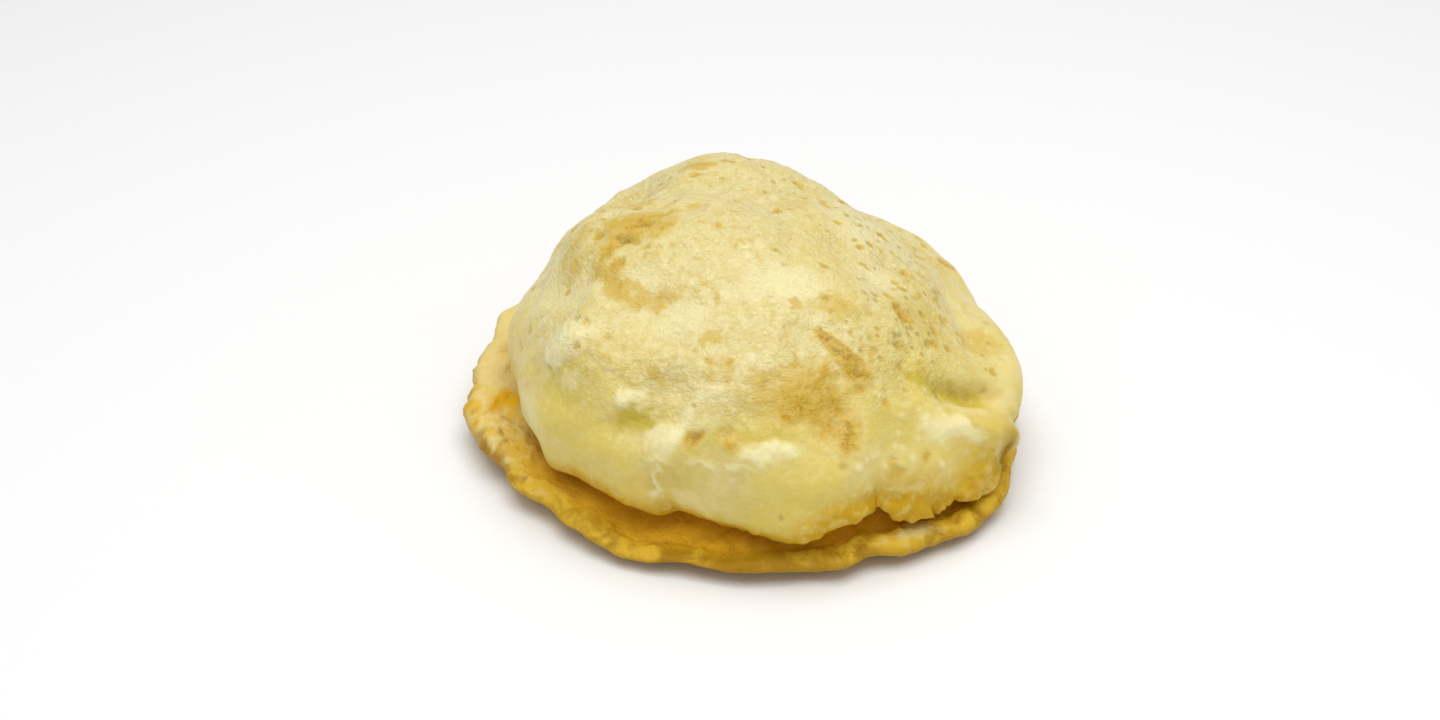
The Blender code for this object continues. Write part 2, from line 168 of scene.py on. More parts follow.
# Lumps and dents of the dome, as (azimuth, fall, half width round, half width down, tilt, height).
# A tilt turns the lump on the surface, counter-clockwise seen from outside.
DOME_LUMPS = (
    # the summit and the shoulders round it
    (90, 60, 22 * MM, 14 * MM, 0, 4.6 * MM),
    (136, 54, 12 * MM, 9 * MM, 0, -5.0 * MM),
    (176, 52, 17 * MM, 13 * MM, 0, 4.5 * MM),
    (58, 36, 11 * MM, 12 * MM, 0, -3.0 * MM),
    # the pillows above the brow, from the left round to the right
    (224, 8, 26 * MM, 14 * MM, 0, 2.5 * MM),
    (250.5, 3, 2.6 * MM, 12 * MM, 0, -1.6 * MM),
    (246, 2, 5 * MM, 11 * MM, 0, 1.4 * MM),
    (275, 6, 22 * MM, 13 * MM, 0, 2.5 * MM),
    (314, 12, 22 * MM, 12 * MM, 0, 3.0 * MM),
    (238, 21, 13 * MM, 6 * MM, 10, -2.0 * MM),
    (242, 28, 6 * MM, 5 * MM, 0, 1.4 * MM),
    (251, 18, 11 * MM, 5 * MM, 35, 1.6 * MM),
    (270, 19, 14 * MM, 5 * MM, 5, 1.2 * MM),
    (290, 26, 12 * MM, 12 * MM, 0, -1.5 * MM),
    # the valley and the ridge on the right
    (326.5, 19.5, 14 * MM, 4.6 * MM, -49, -5.6 * MM),
    (325, 10.5, 13 * MM, 4.2 * MM, -47, 3.8 * MM),
    (327, -12, 9 * MM, 8 * MM, 0, -2.2 * MM),
    (334, -2, 3.0 * MM, 6 * MM, 10, -2.4 * MM),  # the slot beside the ridge's wall
    (349, 6, 20 * MM, 6 * MM, 8, 3.4 * MM),
    (350, 24, 18 * MM, 5 * MM, 8, -2.2 * MM),
    # the middle of the dome
    (235, 54, 16 * MM, 12 * MM, 0, -1.5 * MM),
    (225, 38, 15 * MM, 11 * MM, 0, 2.0 * MM),
    (262, 45, 18 * MM, 12 * MM, 0, 1.2 * MM),
    (297, 40, 5 * MM, 16 * MM, 25, -1.5 * MM),
)

# Lumps and dents of the lower skin, as (azimuth, share of the way from the crease to the lip's
# edge, half width round, half width across, tilt, height)
RIM_LUMPS = (
    (193, 0.30, 5 * MM, 4 * MM, 0, -4.0 * MM),
    (202, 0.55, 5 * MM, 5 * MM, 0, 2.8 * MM),
    (206, 1.45, 7 * MM, 3 * MM, 0, 4.0 * MM),  # under the lip
    (226, 0.50, 12 * MM, 3 * MM, 0, 1.2 * MM),
    (303, 0.55, 9 * MM, 5 * MM, 0, 3.0 * MM),
    (318, 0.55, 12 * MM, 5 * MM, 0, 2.2 * MM),
)

# Ripples over the whole surface, as (wavelength, height, seed)
RIPPLES = (
    (46 * MM, 1.1 * MM, 21),
    (24 * MM, 0.45 * MM, 22),
    (12 * MM, 0.22 * MM, 23),
)
WAVES_IN_A_RIPPLE = 40
RIPPLE_LENGTHS = (0.75, 1.35)  # of its waves, as shares of its wavelength

LUMP_THROUGH = 1.5  # how deep through the bread a lump reaches, in its longer half widths

# How far the lumps and ripples act, as (stretch, points past its start, share): they are kept out
# of the crease and off the foot
FREEDOM = (
    ("dome", 0, 1.0),
    ("brow", 1, 1.0),
    ("brow", 2, 0.7),
    ("brow", 3, 0.3),
    ("crease", 0, 0.0),
    ("gutter", 0, 0.0),
    ("gutter", 1, 0.4),
    ("lip", 0, 0.5),
    ("under", 0, 0.3),
    ("foot", 0, 0.0),
)

# The solid's own rings, whose box sets where the middle is
SEGMENTS = 144
STRETCHES = (("dome", 20), ("brow", 6), ("crease", 4), ("gutter", 6), ("lip", 6), ("under", 3))
DOME_CROWDING = 0.8


def turned(azimuth, centre):
    """The signed angle from centre to azimuth, in degrees."""
    return (azimuth - centre + 180.0) % 360.0 - 180.0


def swell(azimuth, centre, half_width):
    """1 at the centre, falling smoothly to 0 on both sides of it."""
    return np.exp(-((turned(azimuth, centre) / half_width) ** 2))


def swollen(azimuth, size, swells):
    """A size at each azimuth, with its swells added."""
    total = np.full(azimuth.shape, float(size))
    for centre, half_width, amount in swells:
        total += amount * swell(azimuth, centre, half_width)
    return total


def ruffle(azimuth, size, fewest, most, seed):
    """Uneven waves round the puri, which meet where they close."""
    draw = np.random.default_rng(seed)
    total = np.zeros(azimuth.shape)
    for waves in range(fewest, most):
        total += draw.normal() * np.cos(np.radians(azimuth * waves) + draw.uniform(0.0, 2.0 * np.pi))
    return size * total / np.sqrt((most - fewest) / 2.0)


def ripple(points, wavelength, height, seed):
    """Uneven waves in all directions through space, read at each point."""
    draw = np.random.default_rng(seed)
    total = np.zeros(points.shape[:-1])
    for _ in range(WAVES_IN_A_RIPPLE):
        way = draw.normal(size=3)
        way *= 2.0 * np.pi / (wavelength * draw.uniform(*RIPPLE_LENGTHS) * np.linalg.norm(way))
        total += np.cos(points @ way + draw.uniform(0.0, 2.0 * np.pi))
    return height * total / np.sqrt(WAVES_IN_A_RIPPLE / 2.0)


def profile(azimuth):
    """The profile's control points at each azimuth, as (point, azimuth, (radius, height)), and the
    index of the point at which each stretch of the profile starts."""
    brow_r = swollen(azimuth, BROW_RADIUS, BROW_RADIUS_SWELLS)
    fringe = ruffle(azimuth, *FRINGE_RUFFLE) * swell(azimuth, *FRINGE)
    frill = ruffle(azimuth, *BROW_RADIUS_RUFFLE) + fringe
    brow_z = swollen(azimuth, BROW_HEIGHT, BROW_HEIGHT_SWELLS) + ruffle(azimuth, *BROW_HEIGHT_RUFFLE)
    bulge = swollen(azimuth, BROW_ROUNDNESS, BROW_ROUNDNESS_SWELLS)
    lip_r = swollen(azimuth, LIP_RADIUS, LIP_RADIUS_SWELLS) + ruffle(azimuth, *LIP_RADIUS_RUFFLE)
    lip_z = swollen(azimuth, LIP_HEIGHT, LIP_HEIGHT_SWELLS) + ruffle(azimuth, *LIP_HEIGHT_RUFFLE)
    crease_r = brow_r - swollen(azimuth, CREASE_DEPTH, CREASE_DEPTH_SWELLS)
    thick = 0.5 * swollen(azimuth, LIP_THICKNESS, LIP_THICKNESS_SWELLS)
    dome_r = swollen(azimuth, DOME_RADIUS, DOME_RADIUS_SWELLS)
    slack = swollen(azimuth, DOME_SLACK, DOME_SLACK_SWELLS)

    edge = np.radians(BROW_EDGE_DROP)
    middle_r = brow_r - bulge * np.cos(edge)
    widest_r = middle_r + bulge
    widest_z = brow_z + bulge * np.sin(edge)

    points = []
    starts = {"dome": 0}
    for degrees in range(90, 0, -FALL_STEP):
        fall = np.radians(degrees)
        follow = max(0.0, 1.0 - degrees / BROW_REACH) ** FADE_POWER
        base_r = dome_r + (widest_r - dome_r) * follow
        base_z = DOME_BASE + (widest_z - DOME_BASE) * follow
        pull = 1.0 - slack * np.sin(2.0 * fall) ** 2
        rise = (DOME_HEIGHT - base_z) * pull * np.sin(fall)
        points.append((base_r * pull * np.cos(fall), base_z + rise))
    starts["brow"] = len(points)
    for drop in np.radians(BROW_DROPS):
        edge_r = middle_r + bulge * np.cos(drop) + frill * np.sin(drop)
        points.append((np.maximum(edge_r, crease_r + CREASE_LEAST), widest_z - bulge * np.sin(drop)))
    starts["crease"] = len(points)
    last_r, last_z = points[-1]
    floor_z = np.minimum(last_z, lip_z + 2.0 * thick) - CREASE_GAP
    roof_z = 0.5 * (last_z + floor_z + CREASE_GAP)
    points.append((crease_r + np.minimum(CREASE_RUN, 0.5 * (last_r - crease_r)), roof_z))
    points.append((crease_r, 0.5 * (roof_z + floor_z)))
    points.append((crease_r + CREASE_RUN, floor_z))
    starts["gutter"] = len(points)
    gutter_r = crease_r + CREASE_RUN
    gutter_run = lip_r + LIP_SECTION[0][0] * thick - gutter_r
    fill = swollen(azimuth, 0.0, GUTTER_FILLS)
    for share, sag in GUTTER_SAGS:
        height = floor_z * (1.0 - share) + (lip_z + thick) * share - sag + fill * (1.0 - share)
        points.append((gutter_r + gutter_run * share, height))
    starts["lip"] = len(points)
    for out, up in LIP_SECTION:
        points.append((lip_r + out * thick, lip_z + up * thick))
    starts["under"] = len(points)
    points.append((lip_r - 0.5 * FOOT_INSET, (lip_z - thick) * UNDER_RISE))
    points.append((lip_r - FOOT_INSET, np.zeros_like(lip_r)))
    starts["foot"] = len(points) - 1
    return np.array([np.stack(point, axis=-1) for point in points]), starts


def along(points, places):
    """Catmull-Rom through the control points, at places counted in points."""
    mirrored = points[1] * np.array((-1.0, 1.0))  # the profile goes on level across the summit
    beyond = 2 * points[-1] - points[-2]
    whole = np.concatenate([mirrored[None], points, beyond[None]])
    first = np.clip(np.floor(places).astype(int), 0, len(points) - 2)
    f = (places - first)[:, None, None]
    a, b, c, d = (whole[first + k] for k in range(4))
    cubic = (3 * b - a - 3 * c + d) * f**3
    return 0.5 * (2 * b + (c - a) * f + (2 * a - 5 * b + 4 * c - d) * f**2 + cubic)


def smooth_surface(azimuth, places):
    """The surface before its lumps: an array (place, azimuth, xyz)."""
    rz = along(profile(azimuth)[0], places)
    angle = np.radians(azimuth)
    lean = np.clip((rz[..., 1] - LEAN_START) / (DOME_HEIGHT - LEAN_START), 0.0, 1.0) ** FADE_POWER
    x = rz[..., 0] * np.cos(angle) + SUMMIT[0] * lean
    y = rz[..., 0] * np.sin(angle) + SUMMIT[1] * lean
    return np.stack([x, y, rz[..., 1]], axis=-1)


def unit(vectors):
    """The vectors at a length of 1."""
    return vectors / np.maximum(np.linalg.norm(vectors, axis=-1, keepdims=True), 1e-12)


def normals(points):
    """The outward unit normals of a grid of points (place, azimuth, xyz)."""
    round_way = np.roll(points, -1, axis=1) - np.roll(points, 1, axis=1)
    down_way = np.gradient(points, axis=0)
    outward = np.cross(down_way, round_way)
    outward[0] = (0.0, 0.0, 1.0)
    return unit(outward)


def stance(azimuth, place):
    """A point of the smooth surface, its way round and its outward normal."""
    patch = smooth_surface(azimuth + np.array([-1.0, 0.0, 1.0]), place + np.array([-0.1, 0.0, 0.1]))
    round_way = unit(patch[1, 2] - patch[1, 0])
    return patch[1, 1], round_way, unit(np.cross(patch[2, 1] - patch[0, 1], round_way))


def lump(points, azimuth, place, half_round, half_down, tilt, height):
    """How far one lump, centred at a place along the profile, pushes each point out."""
    centre, round_way, outward = stance(azimuth, place)
    up_way = np.cross(outward, round_way)
    turn = np.radians(tilt)
    long_way = round_way * np.cos(turn) + up_way * np.sin(turn)
    short_way = up_way * np.cos(turn) - round_way * np.sin(turn)
    away = points - centre
    across = (away @ long_way / half_round) ** 2 + (away @ short_way / half_down) ** 2
    through = (away @ outward / (LUMP_THROUGH * max(half_round, half_down))) ** 2
    return height * np.exp(-across - through)


def freedom(places, starts):
    """How far the lumps and ripples act at each place along the profile."""
    known = [starts[name] + further for name, further, _ in FREEDOM]
    return np.interp(places, known, [share for _, _, share in FREEDOM])


def surface(azimuth, places):
    """The whole outside, from the summit down to the foot: an array (place, azimuth, xyz)."""
    _, starts = profile(azimuth)
    gutter_and_lip = starts["lip"] + LIP_EDGE - starts["gutter"]
    points = smooth_surface(azimuth, places)
    push = sum(ripple(points, *size) for size in RIPPLES)
    for at, fall, *size in DOME_LUMPS:
        push += lump(points, at, (90.0 - fall) / FALL_STEP, *size)
    for at, share, *size in RIM_LUMPS:
        push += lump(points, at, starts["gutter"] + gutter_and_lip * share, *size)
    push *= freedom(places, starts)[:, None]
    push[0] = push[0].mean()
    return points + normals(points) * push[..., None]


def ring_places(stretches, crowding):
    """Where the rings of a mesh lie along the profile."""
    _, starts = profile(np.zeros(1))
    ends = [starts[name] for name, _ in stretches[1:]] + [starts["foot"]]
    places = []
    for (name, count), end in zip(stretches, ends):
        places += list(np.linspace(starts[name], end, count, endpoint=False))
    places = np.array(places + [starts["foot"]])
    dome = places < starts["brow"]
    places[dome] = starts["brow"] * (places[dome] / starts["brow"]) ** crowding
    return places


# ---------------------------------------------------------------------------------------------
# The marks of frying
# ---------------------------------------------------------------------------------------------

FINE_SEGMENTS = 600
FINE_STRETCHES = (("dome", 120), ("brow", 16), ("crease", 12), ("gutter", 15), ("lip", 12), ("under", 6))
FINE_CROWDING = 0.9
FINE_HALVED_ABOVE = (3.7, 1.7)  # the places along the profile above which the segments halve

# Marks, as (azimuth, fall, half length, half width, heading, height, toast, dry, oily), with their
# lengths in millimetres.  Toast is browning; dry is pale and matt, dry skin and also painted highlights;
# oily is the deep yellow of a thin soaked skin and also painted shade in hollows; dry and oily are left
# out where they are 0.
DENTS = (
    # the long toasted dents on the upper left
    (199, 72, 3.6, 1.5, -8, -1.3, 1.0),
    (192, 76, 2.8, 1.1, 12, -0.9, 0.8, 0, 0.2),
    (205, 65, 4.3, 1.9, -12, -1.4, 1.0),
    (162, 77, 1.6, 1.0, 0, -0.5, 0.7, 0, 0.2),
    (222, 69, 1.4, 0.9, 0, -0.35, 0.6),
    (215, 76, 2.3, 0.8, 5, -0.4, 0.6),
    (150, 66, 3.2, 1.6, -30, -0.6, 0.8),
    (127, 63, 1.7, 0.9, 0, -0.35, 0.5),
    (104, 70, 1.7, 1.2, 0, -0.35, 0.6),
    # over the top
    (70, 70, 1.1, 0.8, 0, -0.3, 0.5),
    (58, 58, 1.0, 0.8, 0, -0.3, 0.5),
    (52, 66, 0.9, 0.8, 0, -0.3, 0.5),
    (87, 84, 1.5, 1.1, 0, -0.35, 0.45),
    (55, 82, 1.2, 0.9, 0, -0.45, 0.65),
    (19, 76, 2.0, 1.9, -30, -1.0, 1.0),
    (345, 86, 1.5, 0.9, 10, -0.35, 0.5),
    (172, 85, 2.8, 1.7, 0, -0.3, 0.35),
    (272, 82, 2.0, 1.8, 0, -0.45, 0.55),
    (245, 82, 1.3, 0.8, 0, -0.3, 0.45),
    (22, 71, 1.3, 1.0, 0, -0.35, 0.5),
    (12, 68, 1.0, 0.9, 0, -0.3, 0.5),
    (33, 57, 3.4, 1.3, -60, -0.5, 0.6, 0, 0.3),
    (13, 59, 2.1, 1.2, -5, -0.4, 0.65),
    (1, 64, 0.9, 0.8, 0, -0.35, 0.7),
    (287, 76, 1.8, 0.9, -44, -0.35, 0.45),
    (298, 76, 0.9, 0.8, 0, -0.3, 0.45),
    (307, 68, 1.0, 0.8, 0, -0.3, 0.45),
    (229, 71, 1.2, 0.8, 0, -0.3, 0.4),
    (236, 73, 1.0, 0.8, 0, -0.3, 0.4),
    # down the right
    (5, 48, 1.7, 1.0, -30, -0.5, 0.6, 0, 0.6),
    (24, 32, 1.0, 0.8, 0, -0.3, 0.5, 0, 0.3),
    (9, 32, 1.4, 1.1, 0, -0.35, 0.5),
    (22, 19, 1.8, 0.8, -45, -0.3, 0.5, 0, 0.3),
    (344, 40, 1.2, 0.9, 20, -0.35, 0.5),
    (317, 48, 1.0, 0.9, 0, -0.3, 0.5, 0, 0.3),
    (307, 46, 1.6, 0.9, -20, -0.35, 0.6, 0, 0.2),
    (310, 40, 1.2, 0.9, 0, -0.35, 0.6, 0, 0.2),
    (328, 43, 2.6, 1.7, -60, -0.5, 0.9),
    (336, 38, 1.0, 1.5, 0, -0.35, 0.5, 0, 0.7),
    (342, 32, 1.5, 0.9, -20, -0.35, 0.6, 0, 0.3),
    (319, 36, 1.0, 0.9, 20, -0.35, 0.5, 0, 0.2),
    (327, 34, 1.2, 1.0, 0, -0.35, 0.7, 0, 0.3),
    (333, 29, 1.3, 1.0, 0, -0.4, 0.8, 0, 0.2),
    (319, 30, 0.9, 1.3, 0, -0.35, 0.5, 0, 0.4),
    (314, 34, 1.0, 1.3, 0, -0.35, 0.6, 0, 0.3),
    # the middle
    (220, 44, 1.0, 1.0, 0, -0.3, 0.7),
    (232, 44, 1.4, 0.8, -20, -0.25, 0.4),
    (238, 43, 1.2, 0.8, -10, -0.25, 0.4),
    (259, 47, 0.9, 0.9, 0, -0.3, 0.4, 0, 0.5),
    (263, 44, 1.5, 0.8, -30, -0.35, 0.7),
    (269, 44, 1.4, 0.9, 40, -0.35, 0.8),
    (254, 38, 0.9, 0.8, 0, -0.25, 0.4),
    (259, 32, 0.8, 0.8, 0, -0.3, 0.7),
    (259, 23, 2.3, 2.2, 0, -0.6, 1.0),
    (267, 25, 1.9, 2.1, 0, -0.5, 0.9, 0, 0.3),
    (288, 44, 0.7, 2.2, 10, -0.3, 0.6),
    (276, 4, 0.8, 0.8, 0, -0.3, 0.9),
)
PATCHES = (
    # browning
    (196, 72, 11, 8, 0, 0, 0.50),
    (158, 66, 9, 5, -20, 0, 0.45),
    (210, 60, 6, 4, 0, 0, 0.30),
    (190, 50, 9, 7, 60, 0, 0.30),
    (103, 65, 6, 2.5, -20, 0, 0.60),
    (214, 58, 5.5, 3.0, -10, 0, 0.42),
    (221, 57, 6.0, 4.2, -50, 0, 0.46),
    (231, 57, 7.5, 4.4, -15, 0, 0.42),
    (239, 57, 4.5, 3.0, 20, 0, 0.36),
    (246, 61, 5.0, 2.8, 45, 0, 0.42),
    (268, 62, 2.4, 2.2, 0, 0, 0.50),
    (262, 65, 2.6, 2.0, 0, 0, 0.35),
    (309, 54, 7, 4.5, -10, 0, 0.40, 0, 0.35),
    (264, 51, 2.6, 2.4, 0, 0, 0.50),
    (248, 38, 1.8, 2.4, 0, 0, 0.50),
    (266, 42, 4, 4, 0, 0, 0.30),
    (284, 34, 13, 8.5, 5, 0, 0.60),
    (292, 30, 5.0, 8, 0, 0, 0.45),
    (292.5, 23, 3.6, 6.5, 0, 0, 0.95),
    (345, 19, 8, 7, 20, 0, 0.40),
    (200, 68, 9, 7, 0, 0, 0.35),
    (289, 27, 5, 7, 0, 0, 0.50),
    (292, 38, 6, 5, -30, 0, 0.45),
    (283, 31, 4, 2.4, 0, 0, 0.55),
    (228, 23, 3.5, 1.6, 0, 0, 0.30, 0, 0.3),
    (328, 44, 5, 4, 0, 0, 0.35, 0, 0.1),
    (335, 36, 8, 8, 0, 0, 0.22, 0, 0.1),
    (22, 24, 10, 8, 0, 0, 0.25),
    # the deep yellow of painted shade in the hollows above the pillows and in the valley
    (318, 26, 9, 2.6, -30, 0, 0, 0, 0.6),
    (325, 21, 7, 2.2, -32, 0, 0, 0, 1.0),
    (245, 25, 6.5, 3.6, -13, 0, 0, 0, 1.0),
    (272, 25, 14, 3.6, 4, 0, 0, 0, 0.85),
    (224, 27, 9, 5, 0, 0, 0, 0, 0.55),
    (303, 22, 10, 7, 0, 0, 0, 0, 0.45),
    (320, 5, 5, 8, 50, 0, 0, 0, 0.4),
    (255, 12, 6, 4, 0, 0, 0, 0, 0.35),
    # pale and matt: dry skin, painted highlights on the pillows and along the top, and painted light
    # where slopes are dimly lit
    (243, 30, 3.6, 2.2, 20, 0.5, 0, 0.9),
    (251, 22, 5.4, 2.2, 10, 0.5, 0, 1.0),
    (263, 36, 4.5, 2.4, 10, 0.3, 0, 0.7),
    (275, 21, 8.5, 2.4, -4, 0.5, 0, 1.0),
    (260, 16, 3.0, 1.2, -18, 0.3, 0, 0.7),
    (268, 17, 3.4, 1.2, -13, 0.3, 0, 0.8),
    (313, 18, 7.0, 3.4, -5, 0.4, 0, 0.7),
    (318, 15, 5.0, 2.0, -25, 0.2, 0, 0.9),
    (250, 8, 0.9, 6.5, 0, 0.5, 0, 0.8),
    (222, 40, 9, 5, 0, 0, 0, 0.7),
    (225, 60, 14, 4, -5, 0, 0, 0.5),
    (255, 57, 16, 5, 25, 0, 0, 0.5),
    (300, 63, 12, 7, 0, 0, 0, 0.8),
    (340, 52, 8, 8, 0, 0, 0, 0.6),
    (5, 56, 8, 6, 0, 0, 0, 0.6),
    (22, 48, 16, 12, 0, 0, 0, 0.5),
    (219.5, 34, 7.5, 4.2, 15, 1.3, 0, 1.0),
    (223, 36, 5.5, 2.4, 10, 0.3, 0, 0.7),
    (226, 28, 4.0, 2.0, -10, 0.3, 0, 0.6),
    (205, 34, 3.6, 2.4, 30, 0.3, 0, 0.6),
    (213, 5, 8, 7, -60, 0, 0, 0.45),
    (258, 2, 5, 4, 0, 0, 0, 0.5),
    (190, 36, 9, 8, 90, 0, 0, 0.6),
    (206, 46, 8, 6, 0, 0, 0, 0.5),
    (341, 8, 8, 4, 75, 0, 0, 0.25),
    (250, 17, 4.8, 0.8, -31, 0.3, 0, 0.6),
)
RIM_MARKS = (
    # pale, where the rim's top is dry, and painted highlights on the rim at the front right
    (181, -94, 9.0, 3.8, 98, 0, 0, 1.0),
    (190, -90, 5.0, 2.0, 98, 0.3, 0, 0.8),
    (172, -88, 7.0, 5.0, 80, 0, 0, 0.6),
    (205, -96, 4.0, 2.6, -60, 0.5, 0, 0.7),
    (210, -92, 2.6, 1.8, -50, 0.4, 0, 0.4),
    (303, -93, 6.5, 2.8, 25, 0.3, 0, 0.8),
    (296, -98, 3.0, 1.8, 20, 0.2, 0, 0.4),
    (320, -96, 4.0, 1.6, 50, 0.2, 0, 0.35),
    # the amber hollow on the far left, a painted warm light in its shade, and the wrinkles in front of
    # it
    (190, -78, 3.8, 3.0, 96, -0.6, 0, 0, 1.0),
    (196, -84, 3.4, 0.9, -20, 0.8, 0.15, 0.4),
    (199, -85, 3.6, 0.9, -30, 0.9, 0.15, 0.45),
    (202, -84, 3.6, 0.9, -22, 0.9, 0.15, 0.4),
    (205, -83, 3.4, 0.9, -32, 0.8, 0.15, 0.3),
    (208, -85, 3.0, 0.9, -38, 0.7, 0.1, 0.3),
    # orange lumps on its outer face, and the browned tier below the lip
    (190, -102, 2.4, 1.6, 90, 0.4, 0.5, 0, 0.7),
    (193, -98, 2.2, 1.5, 80, 0.5, 0.4, 0, 0.8),
    (197, -99, 2.4, 1.4, 60, 0.5, 0.4, 0, 0.8),
    (186, -104, 3.0, 1.6, 95, 0.3, 0.4, 0, 0.4),
    (205, -109, 7.0, 2.6, -60, 0, 0.9),
    (214, -104, 6.0, 2.2, -50, -0.6, 0.8),
    # the amber hollow's painted warm light again, wider and softer
    (190.5, -80.5, 4.2, 4.0, 0, -0.5, 0, 0, 1.0),
    # folds across the lip
    (212, -98, 3.6, 0.9, 0, -0.8, 0.4),
    (222, -97, 3.0, 0.9, 10, -0.5, 0.2),
    (244, -98, 3.0, 1.0, 60, -0.4, 0.2),
    (257, -97, 3.4, 1.0, 80, -0.4, 0.2),
    (291.5, -102, 4.4, 1.0, -75, -1.0, 0.6),
    (312, -98, 3.4, 1.0, -50, -0.5, 0.3),
    # the slot and the fold on the far right
    (326.4, 2, 1.5, 5.0, 57, -1.5, 0.2),
    (323.6, 4, 0.8, 6.0, 57, 0.5, 0, 0.8),
    (320, -6, 2.4, 2.0, 0, -0.4, 0.8, 0, 0.4),
)
# Tapering streaks, as (azimuth and fall of the start and of the end, half width there and there,
# heading, height, toast, dry, oily), likewise in millimetres
STREAKS = (
    ((299.0, 49.0), (302.2, 36.6), 1.3, 3.3, -50, 0.0, 0.66),  # the orange wedge
    ((300.0, 49.5), (304.4, 38.0), 0.45, 0.7, -50, -0.30, 0.7),  # and its upper edge
    # painted shade in deep yellow along the valley
    ((315.0, 31.0), (329.5, 16.0), 1.4, 2.3, -42, -0.2, 0, 0, 1.0),  # along the valley
    # painted highlights along the ridge's crest
    ((315.5, 24.0), (325.0, 15.5), 0.8, 1.2, -42, 0.35, 0, 0.35),  # along the ridge
    ((325.0, 15.5), (336.0, 6.0), 1.2, 2.2, -42, 0.25, 0, 0.2),
    ((260.4, 35.0), (253.0, 19.0), 1.0, 2.2, 60, 0.1, 0, 0.55),  # pale, down to the left
)
STREAK_MARKS = 9  # in each streak
STREAK_LENGTH = 1.4  # the half length of each of them, as a share of its half width
# small raised bubbles with painted glints
BUBBLES_AND_GLINTS = (
    (310, 10, 1.1, 1.1, 0, 0.5, 0, 0.5),
    (292, 13, 1.3, 1.1, 0, 0.5, 0, 0.5),
    (296, 14, 1.1, 1.0, 0, 0.4, 0, 0.4),
)

SCATTER_TOP = 80.0  # the fall that the draws of scattered marks start from
SCATTER_REACH = 200.0  # and how far down from it they go
SCATTER_LEAST = 0.15  # the share of them that is kept at the least where the rings are narrow
SCATTER_STRETCH = 0.5  # how much longer than wide such a mark is at the most

# Scattered marks, as (count, seed, half widths from and to in millimetres, height for each half
# width, toast from and to, dry with painted highlight, oily with painted hollow shade, zones).  A zone
# is (azimuth, half width, fall, half width, share of the draws that are kept).
EVERYWHERE = (0, 1e6, 45, 1e6)
PITS = (
    150, 31, (0.85, 1.6), -0.34, (0.45, 0.95), 0, 0.1,
    ((*EVERYWHERE, 0.03), (335, 34, 40, 22, 1.0), (30, 40, 40, 26, 0.6), (90, 60, 66, 20, 0.4),
     (180, 50, 62, 18, 0.25), (262, 24, 50, 12, 0.12)),
)
# pale bubbles and painted highlights on the right
FOAM_AND_HIGHLIGHTS = (
    40, 33, (0.65, 1.0), 0.25, (0.0, 0.0), 0.5, 0,
    ((313, 7, 18, 5, 1.0), (301, 7, 14, 3, 0.4)),
)
FRINGE_BLISTERS = (
    170, 34, (0.9, 1.5), 0.32, (0.0, 0.0), 0, 0,
    ((304, 16, -4, 8, 1.0), (275, 14, -14, 5, 0.3)),
)
WALL_BUBBLES = (
    46, 35, (0.7, 1.2), 0.45, (0.0, 0.35), 0.15, 0.3,
    ((321, 4, 4, 7, 1.0),),
)
RIM_LUMPLETS = (
    150, 36, (0.9, 2.2), 0.42, (0.0, 0.1), 0.3, 0,
    ((193, 15, -94, 12, 1.0), (303, 13, -96, 7, 0.8), (240, 50, -98, 8, 0.15),
     (325, 12, -96, 6, 0.4)),
)
RIM_DIMPLES = (
    40, 37, (0.8, 1.5), -0.35, (0.0, 0.2), 0, 0,
    ((198, 20, -96, 12, 0.3), (303, 13, -92, 8, 0.8), (255, 50, -92, 10, 0.35),
     (325, 12, -98, 6, 0.5)),
)

# Fine relief over the whole bread, as (wavelength, height, seed)
GRAIN = (
    (7.0 * MM, 0.12 * MM, 41),
    (3.6 * MM, 0.06 * MM, 42),
    (2.2 * MM, 0.045 * MM, 43),
)
WANDERS = ((7.0 * MM, 0.7 * MM, 51), (2.6 * MM, 0.35 * MM, 54))  # of the marks' outlines, likewise

# How strong the grain is, as (place along the profile, share)
GRAIN_ALONG = ((0.0, 1.0), (6.0, 1.0), (7.5, 0.4), (10.0, 0.3), (13.0, 0.8), (17.0, 3.0), (24.0, 0.8))
RUMPLED = ((192, 18, 0.9), (304, 16, 1.0))  # where the rim's grain is stronger, and by how much
TOASTED_GRAIN = 0.8  # how much stronger the grain is where the skin is browned

RIM_START = 15.0  # the place along the profile at which the gutter starts
DOME_END = 9.0  # the place along the profile at which the dome is widest
SMALL_MARK = 1.6  # in millimetres: the outline of a mark smaller than this doesn't wander
PIT_MARK = 1.25  # in millimetres: a dent of the dome that is no larger than this is a pit
PIT_TOAST = 0.3  # the share of its toast that such a pit keeps beside the pits' own colour
SHARPNESS = 1.7  # of the marks' edges
SCARP = 0.45  # how much deeper a dent is at its uphill edge
# a painted shade on a dent's uphill wall, in the pits' colour
SCARP_SHADE = 1.0  # and how much of the pits' colour it has there, as a share of its toast

WINDOW_REACH = 2.2  # how far a mark is stamped out, in its own half lengths
WINDOW_SLACK = 1.3  # how many times as far round the azimuths
PLACE_LENGTH = 9.0 * MM  # what one place along the profile is counted as for that
PLACE_SLACK = 0.3  # and how many places further than that it is stamped along the profile
SUMMIT_PLACES = 2.5  # a mark nearer the summit than this is stamped all round


def marked(points, window, azimuth, place, half_long, half_wide, heading):
    """The share, from 1 at its middle to 0, that one mark has of each point in the window, and how
    far uphill of the mark's middle that point is."""
    centre, round_way, outward = stance(azimuth, place)
    turn = np.radians(heading)
    long_way = np.array((np.cos(turn), np.sin(turn), 0.0))
    long_way = unit(long_way - outward * (long_way @ outward))
    wide_way = np.cross(outward, long_way)
    away = points[window] - centre
    across = (away @ long_way / half_long) ** 2 + (away @ wide_way / half_wide) ** 2
    uphill = np.clip(away @ np.cross(outward, round_way) / half_wide, -1.0, 1.0)
    return np.exp(-(across**SHARPNESS)), uphill


